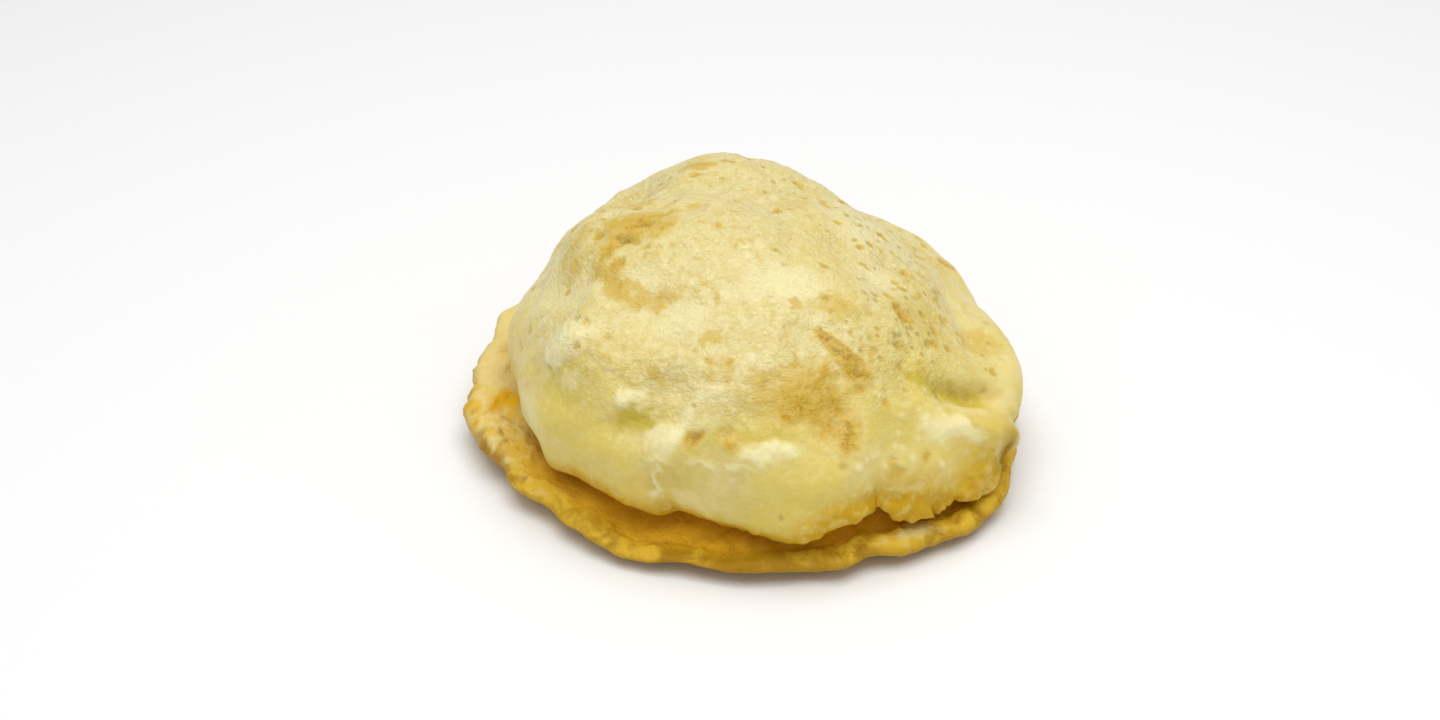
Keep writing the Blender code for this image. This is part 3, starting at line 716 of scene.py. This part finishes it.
def window_round(azimuths, places, azimuth, place, reach):
    """The rows and columns of the grid that lie within reach of one mark."""
    radius = max(np.hypot(*stance(azimuth, place)[0][:2]), 0.5 * reach)
    degrees = min(180.0, np.degrees(reach / radius) * WINDOW_SLACK)
    rows = np.abs(places - place) < reach / PLACE_LENGTH + PLACE_SLACK
    columns = np.abs(turned(azimuths, azimuth)) <= degrees
    if place < SUMMIT_PLACES:
        columns[:] = True
    return np.ix_(rows, columns)


def stamp(layers, points, azimuths, places, mark):
    """Adds one mark to the layers: height, toast, dry skin and painted highlight, oily skin and painted
    hollow shade, and pits and the painted shade on dents' uphill walls.
    """
    azimuth, fall, half_long, half_wide, heading, height, toast, dry_and_highlight, oily_and_hollow_shade = (*mark, 0, 0)[:9]
    place = (90.0 - fall) / FALL_STEP
    size = max(half_long, half_wide)
    window = window_round(azimuths, places, azimuth, place, WINDOW_REACH * (size * MM))
    share, uphill = marked(points, window, azimuth, place, half_long * MM, half_wide * MM, heading)
    layers[0][window] += height * MM * share * (1.0 + SCARP * uphill * (height < 0))
    pit_and_scarp_shade = 0.0
    if height < 0 and place < DOME_END:
        # a small dent is a pit in the pits' colour; a larger one gets a painted shade on its uphill wall
        pit_and_scarp_shade = toast if size <= PIT_MARK else SCARP_SHADE * toast * np.clip(uphill, 0.0, 1.0)
        toast *= PIT_TOAST if size <= PIT_MARK else 1.0
    for layer, amount in zip(layers[1:], (toast, dry_and_highlight, oily_and_hollow_shade, pit_and_scarp_shade)):
        if np.any(amount):
            layer[window] = 1.0 - (1.0 - layer[window]) * (1.0 - np.minimum(amount, 1.0) * share)


def streak(start, end, first_width, last_width, heading, *rest):
    """Marks in a row that widens or narrows."""
    marks = []
    for share in np.linspace(0.0, 1.0, STREAK_MARKS):
        azimuth, fall = np.array(start) * (1.0 - share) + np.array(end) * share
        width = first_width * (1.0 - share) + last_width * share
        marks.append((azimuth, fall, STREAK_LENGTH * width, width, heading, *rest))
    return marks


def scattered(count, seed, widths, steepness, toasts, dry_and_highlight, oily_and_hollow_shade, zones):
    """Marks drawn at random, more of them where the zones say."""
    draw = np.random.default_rng(seed)
    marks = []
    while len(marks) < count:
        azimuth, fall, chance, size, toast, heading, stretch = draw.random(7)
        azimuth *= 360.0
        fall = SCATTER_TOP - SCATTER_REACH * fall
        keep = 0.0
        for centre, half_azimuth, centre_fall, half_fall, share in zones:
            far = (turned(azimuth, centre) / half_azimuth) ** 2 + ((fall - centre_fall) / half_fall) ** 2
            keep = max(keep, share * np.exp(-far))
        if chance < keep * max(np.cos(np.radians(fall)), SCATTER_LEAST):
            width = widths[0] + (widths[1] - widths[0]) * size**2
            toast = toasts[0] + (toasts[1] - toasts[0]) * toast
            length = width * (1.0 + SCATTER_STRETCH * stretch)
            height = steepness * width
            marks.append((azimuth, fall, length, width, 360.0 * heading, height, toast, dry_and_highlight, oily_and_hollow_shade))
    return marks


def fine_surface():
    """The finished surface, its layers of marks, and how many segments each of its rings keeps."""
    places = ring_places(FINE_STRETCHES, FINE_CROWDING)
    azimuths = np.arange(FINE_SEGMENTS) * 360.0 / FINE_SEGMENTS
    _, starts = profile(np.zeros(1))
    base = surface(azimuths, places)
    smooth = smooth_surface(azimuths, places)

    stray = sum(np.stack([ripple(smooth, length, distance, seed + k) for k in range(3)], axis=-1)
                for length, distance, seed in WANDERS)
    layers = [np.zeros(base.shape[:2]) for _ in range(5)]
    marks = list(DENTS) + list(PATCHES) + list(RIM_MARKS) + list(BUBBLES_AND_GLINTS)
    for group in (PITS, FOAM_AND_HIGHLIGHTS, FRINGE_BLISTERS, WALL_BUBBLES, RIM_LUMPLETS, RIM_DIMPLES):
        marks += scattered(*group)
    for mark in marks:
        small = max(mark[2], mark[3]) < SMALL_MARK
        stamp(layers, smooth if small else smooth + stray, azimuths, places, mark)
    for row in STREAKS:
        for mark in streak(*row):
            stamp(layers, smooth, azimuths, places, mark)

    strength = np.interp(places, *zip(*GRAIN_ALONG))[:, None] * (1.0 + TOASTED_GRAIN * layers[1])
    strength = strength * (1.0 + swollen(azimuths, 0.0, RUMPLED) * (places[:, None] > RIM_START))
    push = layers[0] + strength * sum(ripple(smooth, *size) for size in GRAIN)
    push *= freedom(places, starts)[:, None]
    push[0] = push[0].mean()
    points = base + normals(base) * push[..., None]
    points[..., 2] = np.maximum(points[..., 2], 0.0)

    coarse = surface(np.arange(SEGMENTS) * 360.0 / SEGMENTS, ring_places(STRETCHES, DOME_CROWDING))
    middle = 0.5 * (coarse.min(axis=(0, 1)) + coarse.max(axis=(0, 1)))
    middle[2] = 0.0
    halvings = sum((places < limit).astype(int) for limit in FINE_HALVED_ABOVE)
    return points - middle, layers[1:], azimuths, places, FINE_SEGMENTS // 2**halvings, middle


# How much the skin is the upper one, darkened in the crease by a painted shade, and bumpy, as (place
# along the profile, share)
UPPER_ALONG = ((0.0, 1.0), (11.4, 1.0), (12.6, 0.3), (13.5, 0.0), (24.0, 0.0))
CREASE_SHADE_ALONG = ((0.0, 0.0), (12.2, 0.0), (13.2, 0.8), (15.0, 0.9), (16.2, 0.5), (17.0, 0.0), (24.0, 0.0))
BUMPY_ALONG = (
    (0.0, 1.0), (5.6, 1.0), (7.0, 0.4), (8.0, 0.2), (11.0, 0.2), (13.0, 0.3), (17.0, 0.6), (24.0, 0.5),
)
MERGED = (160, 19)  # where dome and rim run together: azimuth and half width
MERGED_UPPER = 0.8  # how much the skin is the upper one there
MERGED_YELLOW = 0.5  # and how much of its yellow it has lost
CLOSED = ((160, 25, 1.2), (197, 14, 0.9))  # where the gutter is closed or wrinkled over

# How yellow the upper skin is, paler towards the top where the pale is partly a painted sheen, and how
# much it glows golden brown at its lower edge
YELLOW_ALONG = ((0.0, 0.0), (4.2, 0.1), (6.4, 0.5), (8.4, 0.8), (9.6, 0.95), (24.0, 1.0))
YELLOWER = (322, 20, 0.15)  # on the right: azimuth, half width and amount
YELLOWER_START = 2.0  # the place along the profile at which that starts
GLOW_ALONG = ((0.0, 0.0), (9.5, 0.0), (10.2, 0.7), (10.8, 1.0), (24.0, 1.0))
# Where the glow starts higher up, as (azimuth, half width, by how much)
GLOWING = (
    (234, 14, 0.5), (251, 7, 0.6), (268, 7, 0.3), (280, 6, 0.7), (288, 8, 0.8), (304, 14, 1.7),
    (321, 6, 1.2),
)

# Where the skin is pitted, where it is golden and where it is sunken into the slot with its painted
# shade, as (azimuth, half width, fall, half width, share)
PITTED = (
    (335, 32, 44, 15, 1.0), (25, 40, 42, 22, 0.8), (346, 8, 18, 6, 1.0), (90, 60, 66, 20, 0.5),
    (180, 50, 64, 16, 0.35), (262, 24, 52, 10, 0.2),
)
GOLDEN = ((320.0, 6.5, -1, 9, 1.4), (285, 4, 33, 4, 0.9), (312, 8, -3, 5, 0.5), (246, 10, 1, 5, 0.35))
SUNKEN_SHADE = ((326.4, 2.8, 1.5, 7.0, 1.5),)

# How much the lower skin is gutter, brightened by a painted bounce light, and how much it is outer
# face, darkened by a painted shade, and how fair its rim is round the azimuths
GUTTER_ALONG = ((0.0, 0.0), (13.0, 1.0), (16.8, 1.0), (18.2, 0.0), (24.0, 0.0))
OUTER_SHADE_ALONG = ((0.0, 0.0), (19.0, 0.0), (20.2, 1.0), (24.0, 1.0))
FAIR_ROUND = (
    (0, 0.5), (90, 0.5), (140, 0.7), (181, 1.0), (190, 0.8), (200, 0.75), (206, 0.7), (215, 0.6),
    (226, 0.45), (240, 0.3), (262, 0.05), (283, 0.1), (290, 0.3), (300, 0.55), (310, 0.22), (325, 0.2),
    (345, 0.5), (360, 0.5),
)

# The layers by name, in the groups of three that the mesh carries
LAYERS = {
    "marks": ("toast", "dry_and_highlight", "oily_and_hollow_shade"),
    "zones": ("upper", "deep", "bumpy"),
    "tints": ("yellow", "glow", "pit_and_scarp_shade"),
    "rims": ("fair", "gutter", "outer"),
    "spots": ("pitted", "golden", "sunken_shade"),
}


def zoned(azimuths, falls, zones):
    """The greatest share that any of the zones has of each azimuth and fall."""
    shares = [share * swell(azimuths, centre, half_azimuth) * swell(falls, centre_fall, half_fall)
              for centre, half_azimuth, centre_fall, half_fall, share in zones]
    return np.minimum(np.max(shares, axis=0), 1.0)


def zone_layers(azimuths, places):
    """The layers that follow the profile and the azimuths, by name."""
    grid = np.ones((len(places), len(azimuths)))
    falls = 90.0 - FALL_STEP * places[:, None]

    def read(table, shift=0.0):
        return np.interp(places[:, None] + shift, *zip(*table)) * grid

    merged = swell(azimuths, *MERGED)
    upper = read(UPPER_ALONG)
    upper += (MERGED_UPPER - upper) * merged * (upper < MERGED_UPPER)
    side, half_side, more = YELLOWER
    yellow = read(YELLOW_ALONG) * (1.0 - MERGED_YELLOW * merged)
    yellow += more * swell(azimuths, side, half_side) * (places[:, None] > YELLOWER_START)
    return {
        "upper": upper,
        "deep": read(CREASE_SHADE_ALONG) * (1.0 - merged),
        "bumpy": read(BUMPY_ALONG),
        "yellow": np.minimum(yellow, 1.0),
        "glow": read(GLOW_ALONG, swollen(azimuths, 0.0, GLOWING)) * (1.0 - merged),
        "fair": np.interp(azimuths, *zip(*FAIR_ROUND)) * grid,
        "gutter": read(GUTTER_ALONG) * (1.0 - np.minimum(swollen(azimuths, 0.0, CLOSED), 1.0)),
        "outer": read(OUTER_SHADE_ALONG),
        "pitted": zoned(azimuths, falls, PITTED),
        "golden": zoned(azimuths, falls, GOLDEN),
        "sunken_shade": zoned(azimuths, falls, SUNKEN_SHADE),
    }


def stitched(counts):
    """The faces between rings of these many points: a fan at the summit, squares, three triangles
    for each square where the rings halve, and the flat foot."""
    first = [0, 1]
    for count in counts[1:-1]:
        first.append(first[-1] + count)
    around = first[1] + np.arange(counts[1])
    faces = np.stack([np.zeros_like(around), around, np.roll(around, -1)], axis=-1).tolist()
    for ring in range(1, len(counts) - 1):
        upper = first[ring] + np.arange(counts[ring])
        lower = first[ring + 1] + np.arange(counts[ring + 1])
        after = np.roll(upper, -1)
        if counts[ring] == counts[ring + 1]:
            faces += np.stack([upper, lower, np.roll(lower, -1), after], axis=-1).tolist()
        else:
            left, between, right = lower[::2], lower[1::2], np.roll(lower[::2], -1)
            faces += np.stack([upper, left, between], axis=-1).tolist()
            faces += np.stack([upper, between, after], axis=-1).tolist()
            faces += np.stack([after, between, right], axis=-1).tolist()
    foot = first[-1] + np.arange(counts[-1])
    return faces + [foot[::-1].tolist()]


def puri_mesh():
    """The closed mesh with its attributes, and how far it was shifted to be centred."""
    grid, marks, azimuths, places, counts, middle = fine_surface()
    layers = {**dict(zip(("toast", "dry_and_highlight", "oily_and_hollow_shade", "pit_and_scarp_shade"), marks)), **zone_layers(azimuths, places)}
    steps = FINE_SEGMENTS // counts

    def kept(values):
        """The values at the summit and at the points that each ring keeps."""
        rings = [values[ring, :: steps[ring]] for ring in range(1, len(places))]
        return np.concatenate([values[0, :1], *rings])

    mesh = bpy.data.meshes.new("bread")
    mesh.from_pydata(kept(grid).tolist(), [], stitched(counts))
    for group, names in LAYERS.items():
        attribute = mesh.attributes.new(group, "FLOAT_VECTOR", "POINT")
        values = kept(np.stack([layers[name] for name in names], axis=-1))
        attribute.data.foreach_set("vector", values.astype(np.float32).ravel())
    mesh.shade_smooth()
    mesh.update()
    return mesh, middle


# ---------------------------------------------------------------------------------------------
# The material
# ---------------------------------------------------------------------------------------------

# Colours of the upper skin
# pale at the top: partly drier skin, partly a painted sheen of the overhead light
PALE_WITH_SHEEN = (0.75, 0.64, 0.28)
YELLOW = (0.74, 0.577, 0.108)
# cream: dry skin, and painted highlights
CREAM_AND_HIGHLIGHT = (0.88, 0.80, 0.44)
TAN = (0.67, 0.49, 0.14)
# deep yellow: a thin soaked skin, and painted shade in the hollows
OILY_AND_HOLLOW_SHADE = (0.575, 0.45, 0.045)
EDGE = (0.61, 0.36, 0.010)  # where it glows
GOLD = (0.74, 0.48, 0.022)
TANNED = (0.68, 0.495, 0.115)  # lightly browned
TOAST = (0.63, 0.41, 0.05)
DARK_TOAST = (0.47, 0.28, 0.03)
# the pits' colour, also used for the painted shade on dents' uphill walls
PIT_AND_SCARP_SHADE = (0.52, 0.36, 0.06)
# a painted shade in the slot beside the ridge's wall
SLOT_SHADE = (0.42, 0.26, 0.005)

# Colours of the lower skin
LIP_DARK = (0.39, 0.21, 0.005)
LIP_GOLD = (0.74, 0.48, 0.035)
LIP_PALE = (0.80, 0.66, 0.28)
# darker: a painted shade on the lip's outer face and underside
LIP_OUTER_SHADE = (0.44, 0.24, 0.008)
LIP_BROWN = (0.42, 0.21, 0.008)
# gold brighter than the lip's, partly a painted bounce light in the gutter
GUTTER_GOLD_AND_BOUNCE = (0.96, 0.57, 0.03)
# amber: the orange of the lumps on the rim's outer face, and a painted warm light in the hollow on the
# far left
AMBER_AND_HOLLOW_GLOW = (0.84, 0.50, 0.006)
# dark brown, a painted shade deep in the crease
CREASE_SHADE_BROWN = (0.60, 0.25, 0.006)  # deep in the crease

# Noises, as (wavelength, detail, roughness, warp, flatness)
NOISES = {
    "broad": (26.0 * MM, 3.0, 0.5, 0.0, 1.0),
    "middling": (9.0 * MM, 4.0, 0.6, 0.4, 1.0),
    "small": (3.2 * MM, 4.0, 0.6, 0.3, 1.0),
    "tiny": (1.1 * MM, 3.0, 0.6, 0.5, 1.0),
    "wrinkles": (2.6 * MM, 3.0, 0.55, 0.8, 2.4),
}
SPECK_SPACING = 3.0 * MM
SPECK_EDGE = (0.34, 0.20)  # how far from its middle a speck ends and is full, in spacings
SPECK_CHOICE = (1.0, 1.3)  # the sums of its own number and the pitting at which it is left out and full

# Tints laid over the upper skin one by one, as (share, noise, two levels of the noise, the strength
# of the tint at each, colour)
UPPER_TINTS = (
    ("whole", "middling", 0.50, 0.68, 0.0, 0.55, TAN),
    ("mottled", "small", 0.50, 0.68, 0.0, 0.40, TAN),
    ("mottled", "small", 0.50, 0.30, 0.0, 0.40, CREAM_AND_HIGHLIGHT),
    ("bumpy", "tiny", 0.50, 0.72, 0.0, 0.45, TAN),
    ("bumpy", "tiny", 0.50, 0.28, 0.0, 0.45, CREAM_AND_HIGHLIGHT),
    # painted shade in the wrinkles' troughs and painted light on their crests, from the same noise that
    # raises them
    ("creased", "wrinkles", 0.50, 0.28, 0.0, 0.28, TAN),
    ("creased", "wrinkles", 0.52, 0.74, 0.0, 0.40, CREAM_AND_HIGHLIGHT),
    # the deep yellow of soaked skin and of painted shade in the hollows
    ("oily_and_hollow_shade", "small", 0.15, 0.55, 0.6, 1.0, OILY_AND_HOLLOW_SHADE),
    ("golden", "small", 0.25, 0.60, 0.8, 1.0, GOLD),
)
MOTTLED_LEAST = 0.35  # how mottled the skin is where it isn't bumpy
CREASED_LEAST = 0.25  # and how creased
# the dry patches include painted highlights
DRY_AND_HIGHLIGHT_LEAST = (0.9, 0.35)  # how strong a dry patch is in its gaps, where smooth and where bumpy

ROUGHNESS = (0.40, 0.55)  # the least and the most
# roughness added on dry skin and on the painted highlights
DRY_AND_HIGHLIGHT_ROUGHNESS = 0.12  # added where the skin is dry
SPECULAR = 0.15
OIL_FILM = (0.45, 0.25)  # how much of a coat the oil makes, at the most and the least
OIL_SOAKED = 0.1  # the share of it that is left where the skin glows, is golden or is sunken
OIL_ROUGHNESS = 0.33
SUBSURFACE = 0.25
SUBSURFACE_RADIUS = (2.4, 1.5, 0.4)  # in millimetres

# The bumps' height, as shares of the distance that the noises are laid over
BUMP_DISTANCE = 0.9 * MM
TINY_HEIGHT = 0.6
SMALL_HEIGHT = 0.6
WRINKLE_HEIGHT = 0.65
SPECK_DEPTH = 0.2


class Shading:
    """Nodes of one material, made and linked by short calls."""

    def __init__(self, material):
        material.use_nodes = True
        self.tree = material.node_tree
        self.shader = self.tree.nodes["Principled BSDF"]
        self.place = self.tree.nodes.new("ShaderNodeTexCoord").outputs["Object"]

    def put(self, node, key, value):
        if isinstance(value, bpy.types.NodeSocket):
            self.tree.links.new(value, node.inputs[key])
        else:
            node.inputs[key].default_value = value

    def noise(self, wavelength, detail=2.0, roughness=0.5, warp=0.0, flatness=1.0):
        node = self.tree.nodes.new("ShaderNodeTexNoise")
        flat = self.tree.nodes.new("ShaderNodeVectorMath")
        flat.operation = "MULTIPLY"
        self.put(flat, 0, self.place)
        self.put(flat, 1, (1.0, 1.0, flatness))
        self.put(node, "Vector", flat.outputs["Vector"])
        self.put(node, "Scale", 1.0 / wavelength)
        self.put(node, "Detail", detail)
        self.put(node, "Roughness", roughness)
        self.put(node, "Distortion", warp)
        return node.outputs["Fac"]

    def dots(self, spacing):
        """The distance to the nearest of many scattered points, in spacings, and its own number."""
        node = self.tree.nodes.new("ShaderNodeTexVoronoi")
        self.put(node, "Vector", self.place)
        self.put(node, "Scale", 1.0 / spacing)
        split = self.tree.nodes.new("ShaderNodeSeparateColor")
        self.tree.links.new(node.outputs["Color"], split.inputs[0])
        return node.outputs["Distance"], split.outputs[0]

    def between(self, value, low, high, to_low=0.0, to_high=1.0):
        """The value eased from to_low, where it is low, to to_high, where it is high."""
        node = self.tree.nodes.new("ShaderNodeMapRange")
        node.interpolation_type = "SMOOTHSTEP"
        for key, given in zip(("Value", "From Min", "From Max", "To Min", "To Max"),
                              (value, low, high, to_low, to_high)):
            self.put(node, key, given)
        return node.outputs["Result"]

    def math(self, operation, first, second):
        node = self.tree.nodes.new("ShaderNodeMath")
        node.operation = operation
        self.put(node, 0, first)
        self.put(node, 1, second)
        return node.outputs["Value"]

    def times(self, first, second):
        return self.math("MULTIPLY", first, second)

    def plus(self, first, second):
        return self.math("ADD", first, second)

    def greatest(self, first, second):
        return self.math("MAXIMUM", first, second)

    def mix(self, share, first, second):
        node = self.tree.nodes.new("ShaderNodeMix")
        node.data_type = "RGBA"
        self.put(node, 0, share)
        self.put(node, 6, first if isinstance(first, bpy.types.NodeSocket) else (*first, 1.0))
        self.put(node, 7, second if isinstance(second, bpy.types.NodeSocket) else (*second, 1.0))
        return node.outputs[2]

    def tinted(self, skin, colour, share, noise, levels):
        """The skin with a colour laid over it by a share, unevenly, as the noise's levels say."""
        return self.mix(self.times(share, self.between(noise, *levels)), skin, colour)

    def layers(self):
        """The mesh's layers by name."""
        named = {}
        for group, names in LAYERS.items():
            node = self.tree.nodes.new("ShaderNodeAttribute")
            node.attribute_name = group
            split = self.tree.nodes.new("ShaderNodeSeparateXYZ")
            self.tree.links.new(node.outputs["Vector"], split.inputs[0])
            named.update(zip(names, split.outputs))
        return named


def upper_skin(s, layer, noise):
    """The colour of the upper skin before it browned."""
    bumpy = layer["bumpy"]
    shares = {
        **layer,
        "whole": 1.0,
        "mottled": s.between(bumpy, 0.0, 1.0, MOTTLED_LEAST, 1.0),
        "creased": s.between(bumpy, 0.0, 1.0, CREASED_LEAST, 1.0),
    }
    yellow = s.plus(layer["yellow"], s.between(noise["broad"], 0.35, 0.65, -0.35, 0.25))
    # pale at the top, partly a painted sheen, and yellower down the sides
    skin = s.mix(yellow, PALE_WITH_SHEEN, YELLOW)
    for share, kind, *levels, colour in UPPER_TINTS:
        skin = s.tinted(skin, colour, shares[share], noise[kind], levels)
    gaps = s.between(bumpy, 0.0, 1.0, *DRY_AND_HIGHLIGHT_LEAST)
    # dry skin and painted highlights, in cream
    skin = s.tinted(skin, CREAM_AND_HIGHLIGHT, layer["dry_and_highlight"], noise["small"], (0.25, 0.60, gaps, 1.0))
    return s.tinted(skin, EDGE, layer["glow"], noise["small"], (0.32, 0.62, 0.55, 1.35))


def browned(s, skin, broken, pits_and_scarp_shade, noise):
    """The upper skin with its browning, its pits and the painted shade on its dents' uphill walls."""
    skin = s.mix(s.between(broken, 0.03, 0.45, 0.0, 0.9), skin, TANNED)
    skin = s.mix(s.between(broken, 0.35, 0.85, 0.0, 0.95), skin, TOAST)
    darker = s.times(broken, s.between(noise["tiny"], 0.3, 0.7, 0.7, 1.2))
    skin = s.mix(s.between(darker, 0.75, 1.2), skin, DARK_TOAST)
    return s.mix(pits_and_scarp_shade, skin, PIT_AND_SCARP_SHADE)


def lower_skin(s, layer, broken, noise):
    """The colour of the lower skin: lip, outer face with a painted shade, gutter with a painted bounce
    light, the painted warm light of the amber hollows, and browned folds.
    """
    golden = s.plus(layer["fair"], s.between(noise["middling"], 0.35, 0.65, -0.2, 0.25))
    skin = s.mix(s.between(golden, 0.0, 0.5), LIP_DARK, LIP_GOLD)
    pale = s.plus(layer["fair"], s.between(noise["small"], 0.3, 0.7, -0.15, 0.2))
    # the pale rim, with its dry patches and painted highlights
    skin = s.mix(s.between(s.greatest(pale, layer["dry_and_highlight"]), 0.5, 1.0), skin, LIP_PALE)
    # the painted shade on the lip's outer face and underside
    skin = s.mix(s.times(layer["outer"], 0.75), skin, LIP_OUTER_SHADE)
    # the gutter's gold with its painted bounce light
    skin = s.tinted(skin, GUTTER_GOLD_AND_BOUNCE, layer["gutter"], noise["small"], (0.35, 0.6, 0.6, 1.0))
    skin = s.mix(layer["oily_and_hollow_shade"], skin, AMBER_AND_HOLLOW_GLOW)
    return s.mix(s.between(broken, 0.05, 0.9, 0.0, 0.9), skin, LIP_BROWN)


def bread_colour(s, layer, noise, speck):
    """Both skins, with the painted shade in the crease and in the slot."""
    broken = s.times(layer["toast"], s.between(noise["small"], 0.30, 0.62, 0.6, 1.2))
    pits_and_scarp_shade = s.greatest(s.times(layer["pit_and_scarp_shade"], 0.9), s.times(speck, 0.7))
    upper = browned(s, upper_skin(s, layer, noise), broken, pits_and_scarp_shade, noise)
    skin = s.mix(layer["upper"], lower_skin(s, layer, broken, noise), upper)
    # the painted shade deep in the crease
    skin = s.tinted(skin, CREASE_SHADE_BROWN, layer["deep"], noise["middling"], (0.25, 0.65, 0.6, 0.2))
    # the painted shade in the slot
    return s.mix(layer["sunken_shade"], skin, SLOT_SHADE)


def bumps(s, layer, noise, speck):
    """The normal of the skin with its finest bumps, which a mesh can't hold."""
    height = s.plus(s.times(noise["tiny"], TINY_HEIGHT), s.times(noise["small"], SMALL_HEIGHT))
    height = s.plus(height, s.times(noise["wrinkles"], WRINKLE_HEIGHT))
    height = s.math("SUBTRACT", height, s.times(speck, SPECK_DEPTH))
    bump = s.tree.nodes.new("ShaderNodeBump")
    s.put(bump, "Height", height)
    s.put(bump, "Distance", BUMP_DISTANCE)
    s.put(bump, "Strength", layer["bumpy"])
    return bump.outputs["Normal"]


def bread_material():
    material = bpy.data.materials.new("fried_dough")
    s = Shading(material)
    layer = s.layers()
    noise = {name: s.noise(*sizes) for name, sizes in NOISES.items()}
    away, own = s.dots(SPECK_SPACING)
    chosen = s.between(s.plus(own, layer["pitted"]), *SPECK_CHOICE)
    speck = s.times(s.between(away, *SPECK_EDGE), chosen)
    s.put(s.shader, "Base Color", bread_colour(s, layer, noise, speck))
    s.put(s.shader, "Normal", bumps(s, layer, noise, speck))

    rough = s.between(noise["small"], 0.3, 0.7, *ROUGHNESS)
    s.put(s.shader, "Roughness", s.plus(rough, s.times(layer["dry_and_highlight"], DRY_AND_HIGHLIGHT_ROUGHNESS)))
    s.put(s.shader, "Specular IOR Level", SPECULAR)
    soaked = s.greatest(s.greatest(layer["glow"], layer["golden"]), layer["sunken_shade"])
    film = s.times(layer["upper"], s.between(soaked, 0.0, 0.8, 1.0, OIL_SOAKED))
    s.put(s.shader, "Coat Weight", s.times(film, s.between(noise["small"], 0.3, 0.7, *OIL_FILM)))
    s.put(s.shader, "Coat Roughness", OIL_ROUGHNESS)
    s.put(s.shader, "Subsurface Weight", SUBSURFACE)
    s.put(s.shader, "Subsurface Radius", SUBSURFACE_RADIUS)
    s.put(s.shader, "Subsurface Scale", MM)
    return material


# ---------------------------------------------------------------------------------------------
# The scene
# ---------------------------------------------------------------------------------------------

CAMERA_LENS = 50.0  # in millimetres, on a sensor of 36
CAMERA_TARGET = (-8.0 * MM, -7.0 * MM, 22.4 * MM)  # in the solid's frame before it is centred
CAMERA_HEIGHT_ANGLE = 35.0
CAMERA_DISTANCE = 574.0 * MM
FLOOR_SIZE = 6.0
FLOOR_COLOUR = (0.90, 0.90, 0.90, 1.0)
FLOOR_ROUGHNESS = 0.6
KEY = ((0.04, -0.10, 1.00), 1.0, 9.05)  # the overhead light's place, size and power
KEY_TARGET = (0.0, 0.0, 0.02)
WORLD_COLOUR = (1.0, 1.0, 1.0, 1.0)
WORLD_STRENGTH = 0.47


def look_at(eye, target):
    """The matrix of a camera or light at eye that looks at target."""
    forward = (target - eye).normalized()
    right = forward.cross(Vector((0.0, 0.0, 1.0))).normalized()
    turn = Matrix((right, right.cross(forward), -forward)).transposed().to_4x4()
    turn.translation = eye
    return turn


def place_camera(middle):
    data = bpy.data.cameras.new("camera")
    data.lens = CAMERA_LENS
    camera = bpy.data.objects.new("camera", data)
    bpy.context.scene.collection.objects.link(camera)
    target = Vector(CAMERA_TARGET) - Vector(middle)
    angle = np.radians(CAMERA_HEIGHT_ANGLE)
    eye = target + CAMERA_DISTANCE * Vector((0.0, -np.cos(angle), np.sin(angle)))
    camera.matrix_world = look_at(eye, target)
    bpy.context.scene.camera = camera


def place_lights():
    place, size, power = KEY
    data = bpy.data.lights.new("key", "AREA")
    data.size = size
    data.energy = power
    light = bpy.data.objects.new("key", data)
    bpy.context.scene.collection.objects.link(light)
    light.matrix_world = look_at(Vector(place), Vector(KEY_TARGET))
    world = bpy.data.worlds.new("world")
    bpy.context.scene.world = world
    world.use_nodes = True
    background = world.node_tree.nodes["Background"]
    background.inputs["Color"].default_value = WORLD_COLOUR
    background.inputs["Strength"].default_value = WORLD_STRENGTH


def place_floor():
    half = 0.5 * FLOOR_SIZE
    mesh = bpy.data.meshes.new("floor")
    corners = [(-half, -half, 0.0), (half, -half, 0.0), (half, half, 0.0), (-half, half, 0.0)]
    mesh.from_pydata(corners, [], [(0, 1, 2, 3)])
    floor = bpy.data.objects.new("floor", mesh)
    bpy.context.scene.collection.objects.link(floor)
    material = bpy.data.materials.new("floor")
    material.use_nodes = True
    shader = material.node_tree.nodes["Principled BSDF"]
    shader.inputs["Base Color"].default_value = FLOOR_COLOUR
    shader.inputs["Roughness"].default_value = FLOOR_ROUGHNESS
    mesh.materials.append(material)


bread_mesh, centre_shift = puri_mesh()
bread = bpy.data.objects.new("bread", bread_mesh)
bpy.context.scene.collection.objects.link(bread)
bread_mesh.materials.append(bread_material())
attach(bread, "root")
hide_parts("puri")

place_floor()
place_lights()
place_camera(centre_shift)
bpy.context.scene.view_settings.view_transform = "Standard"
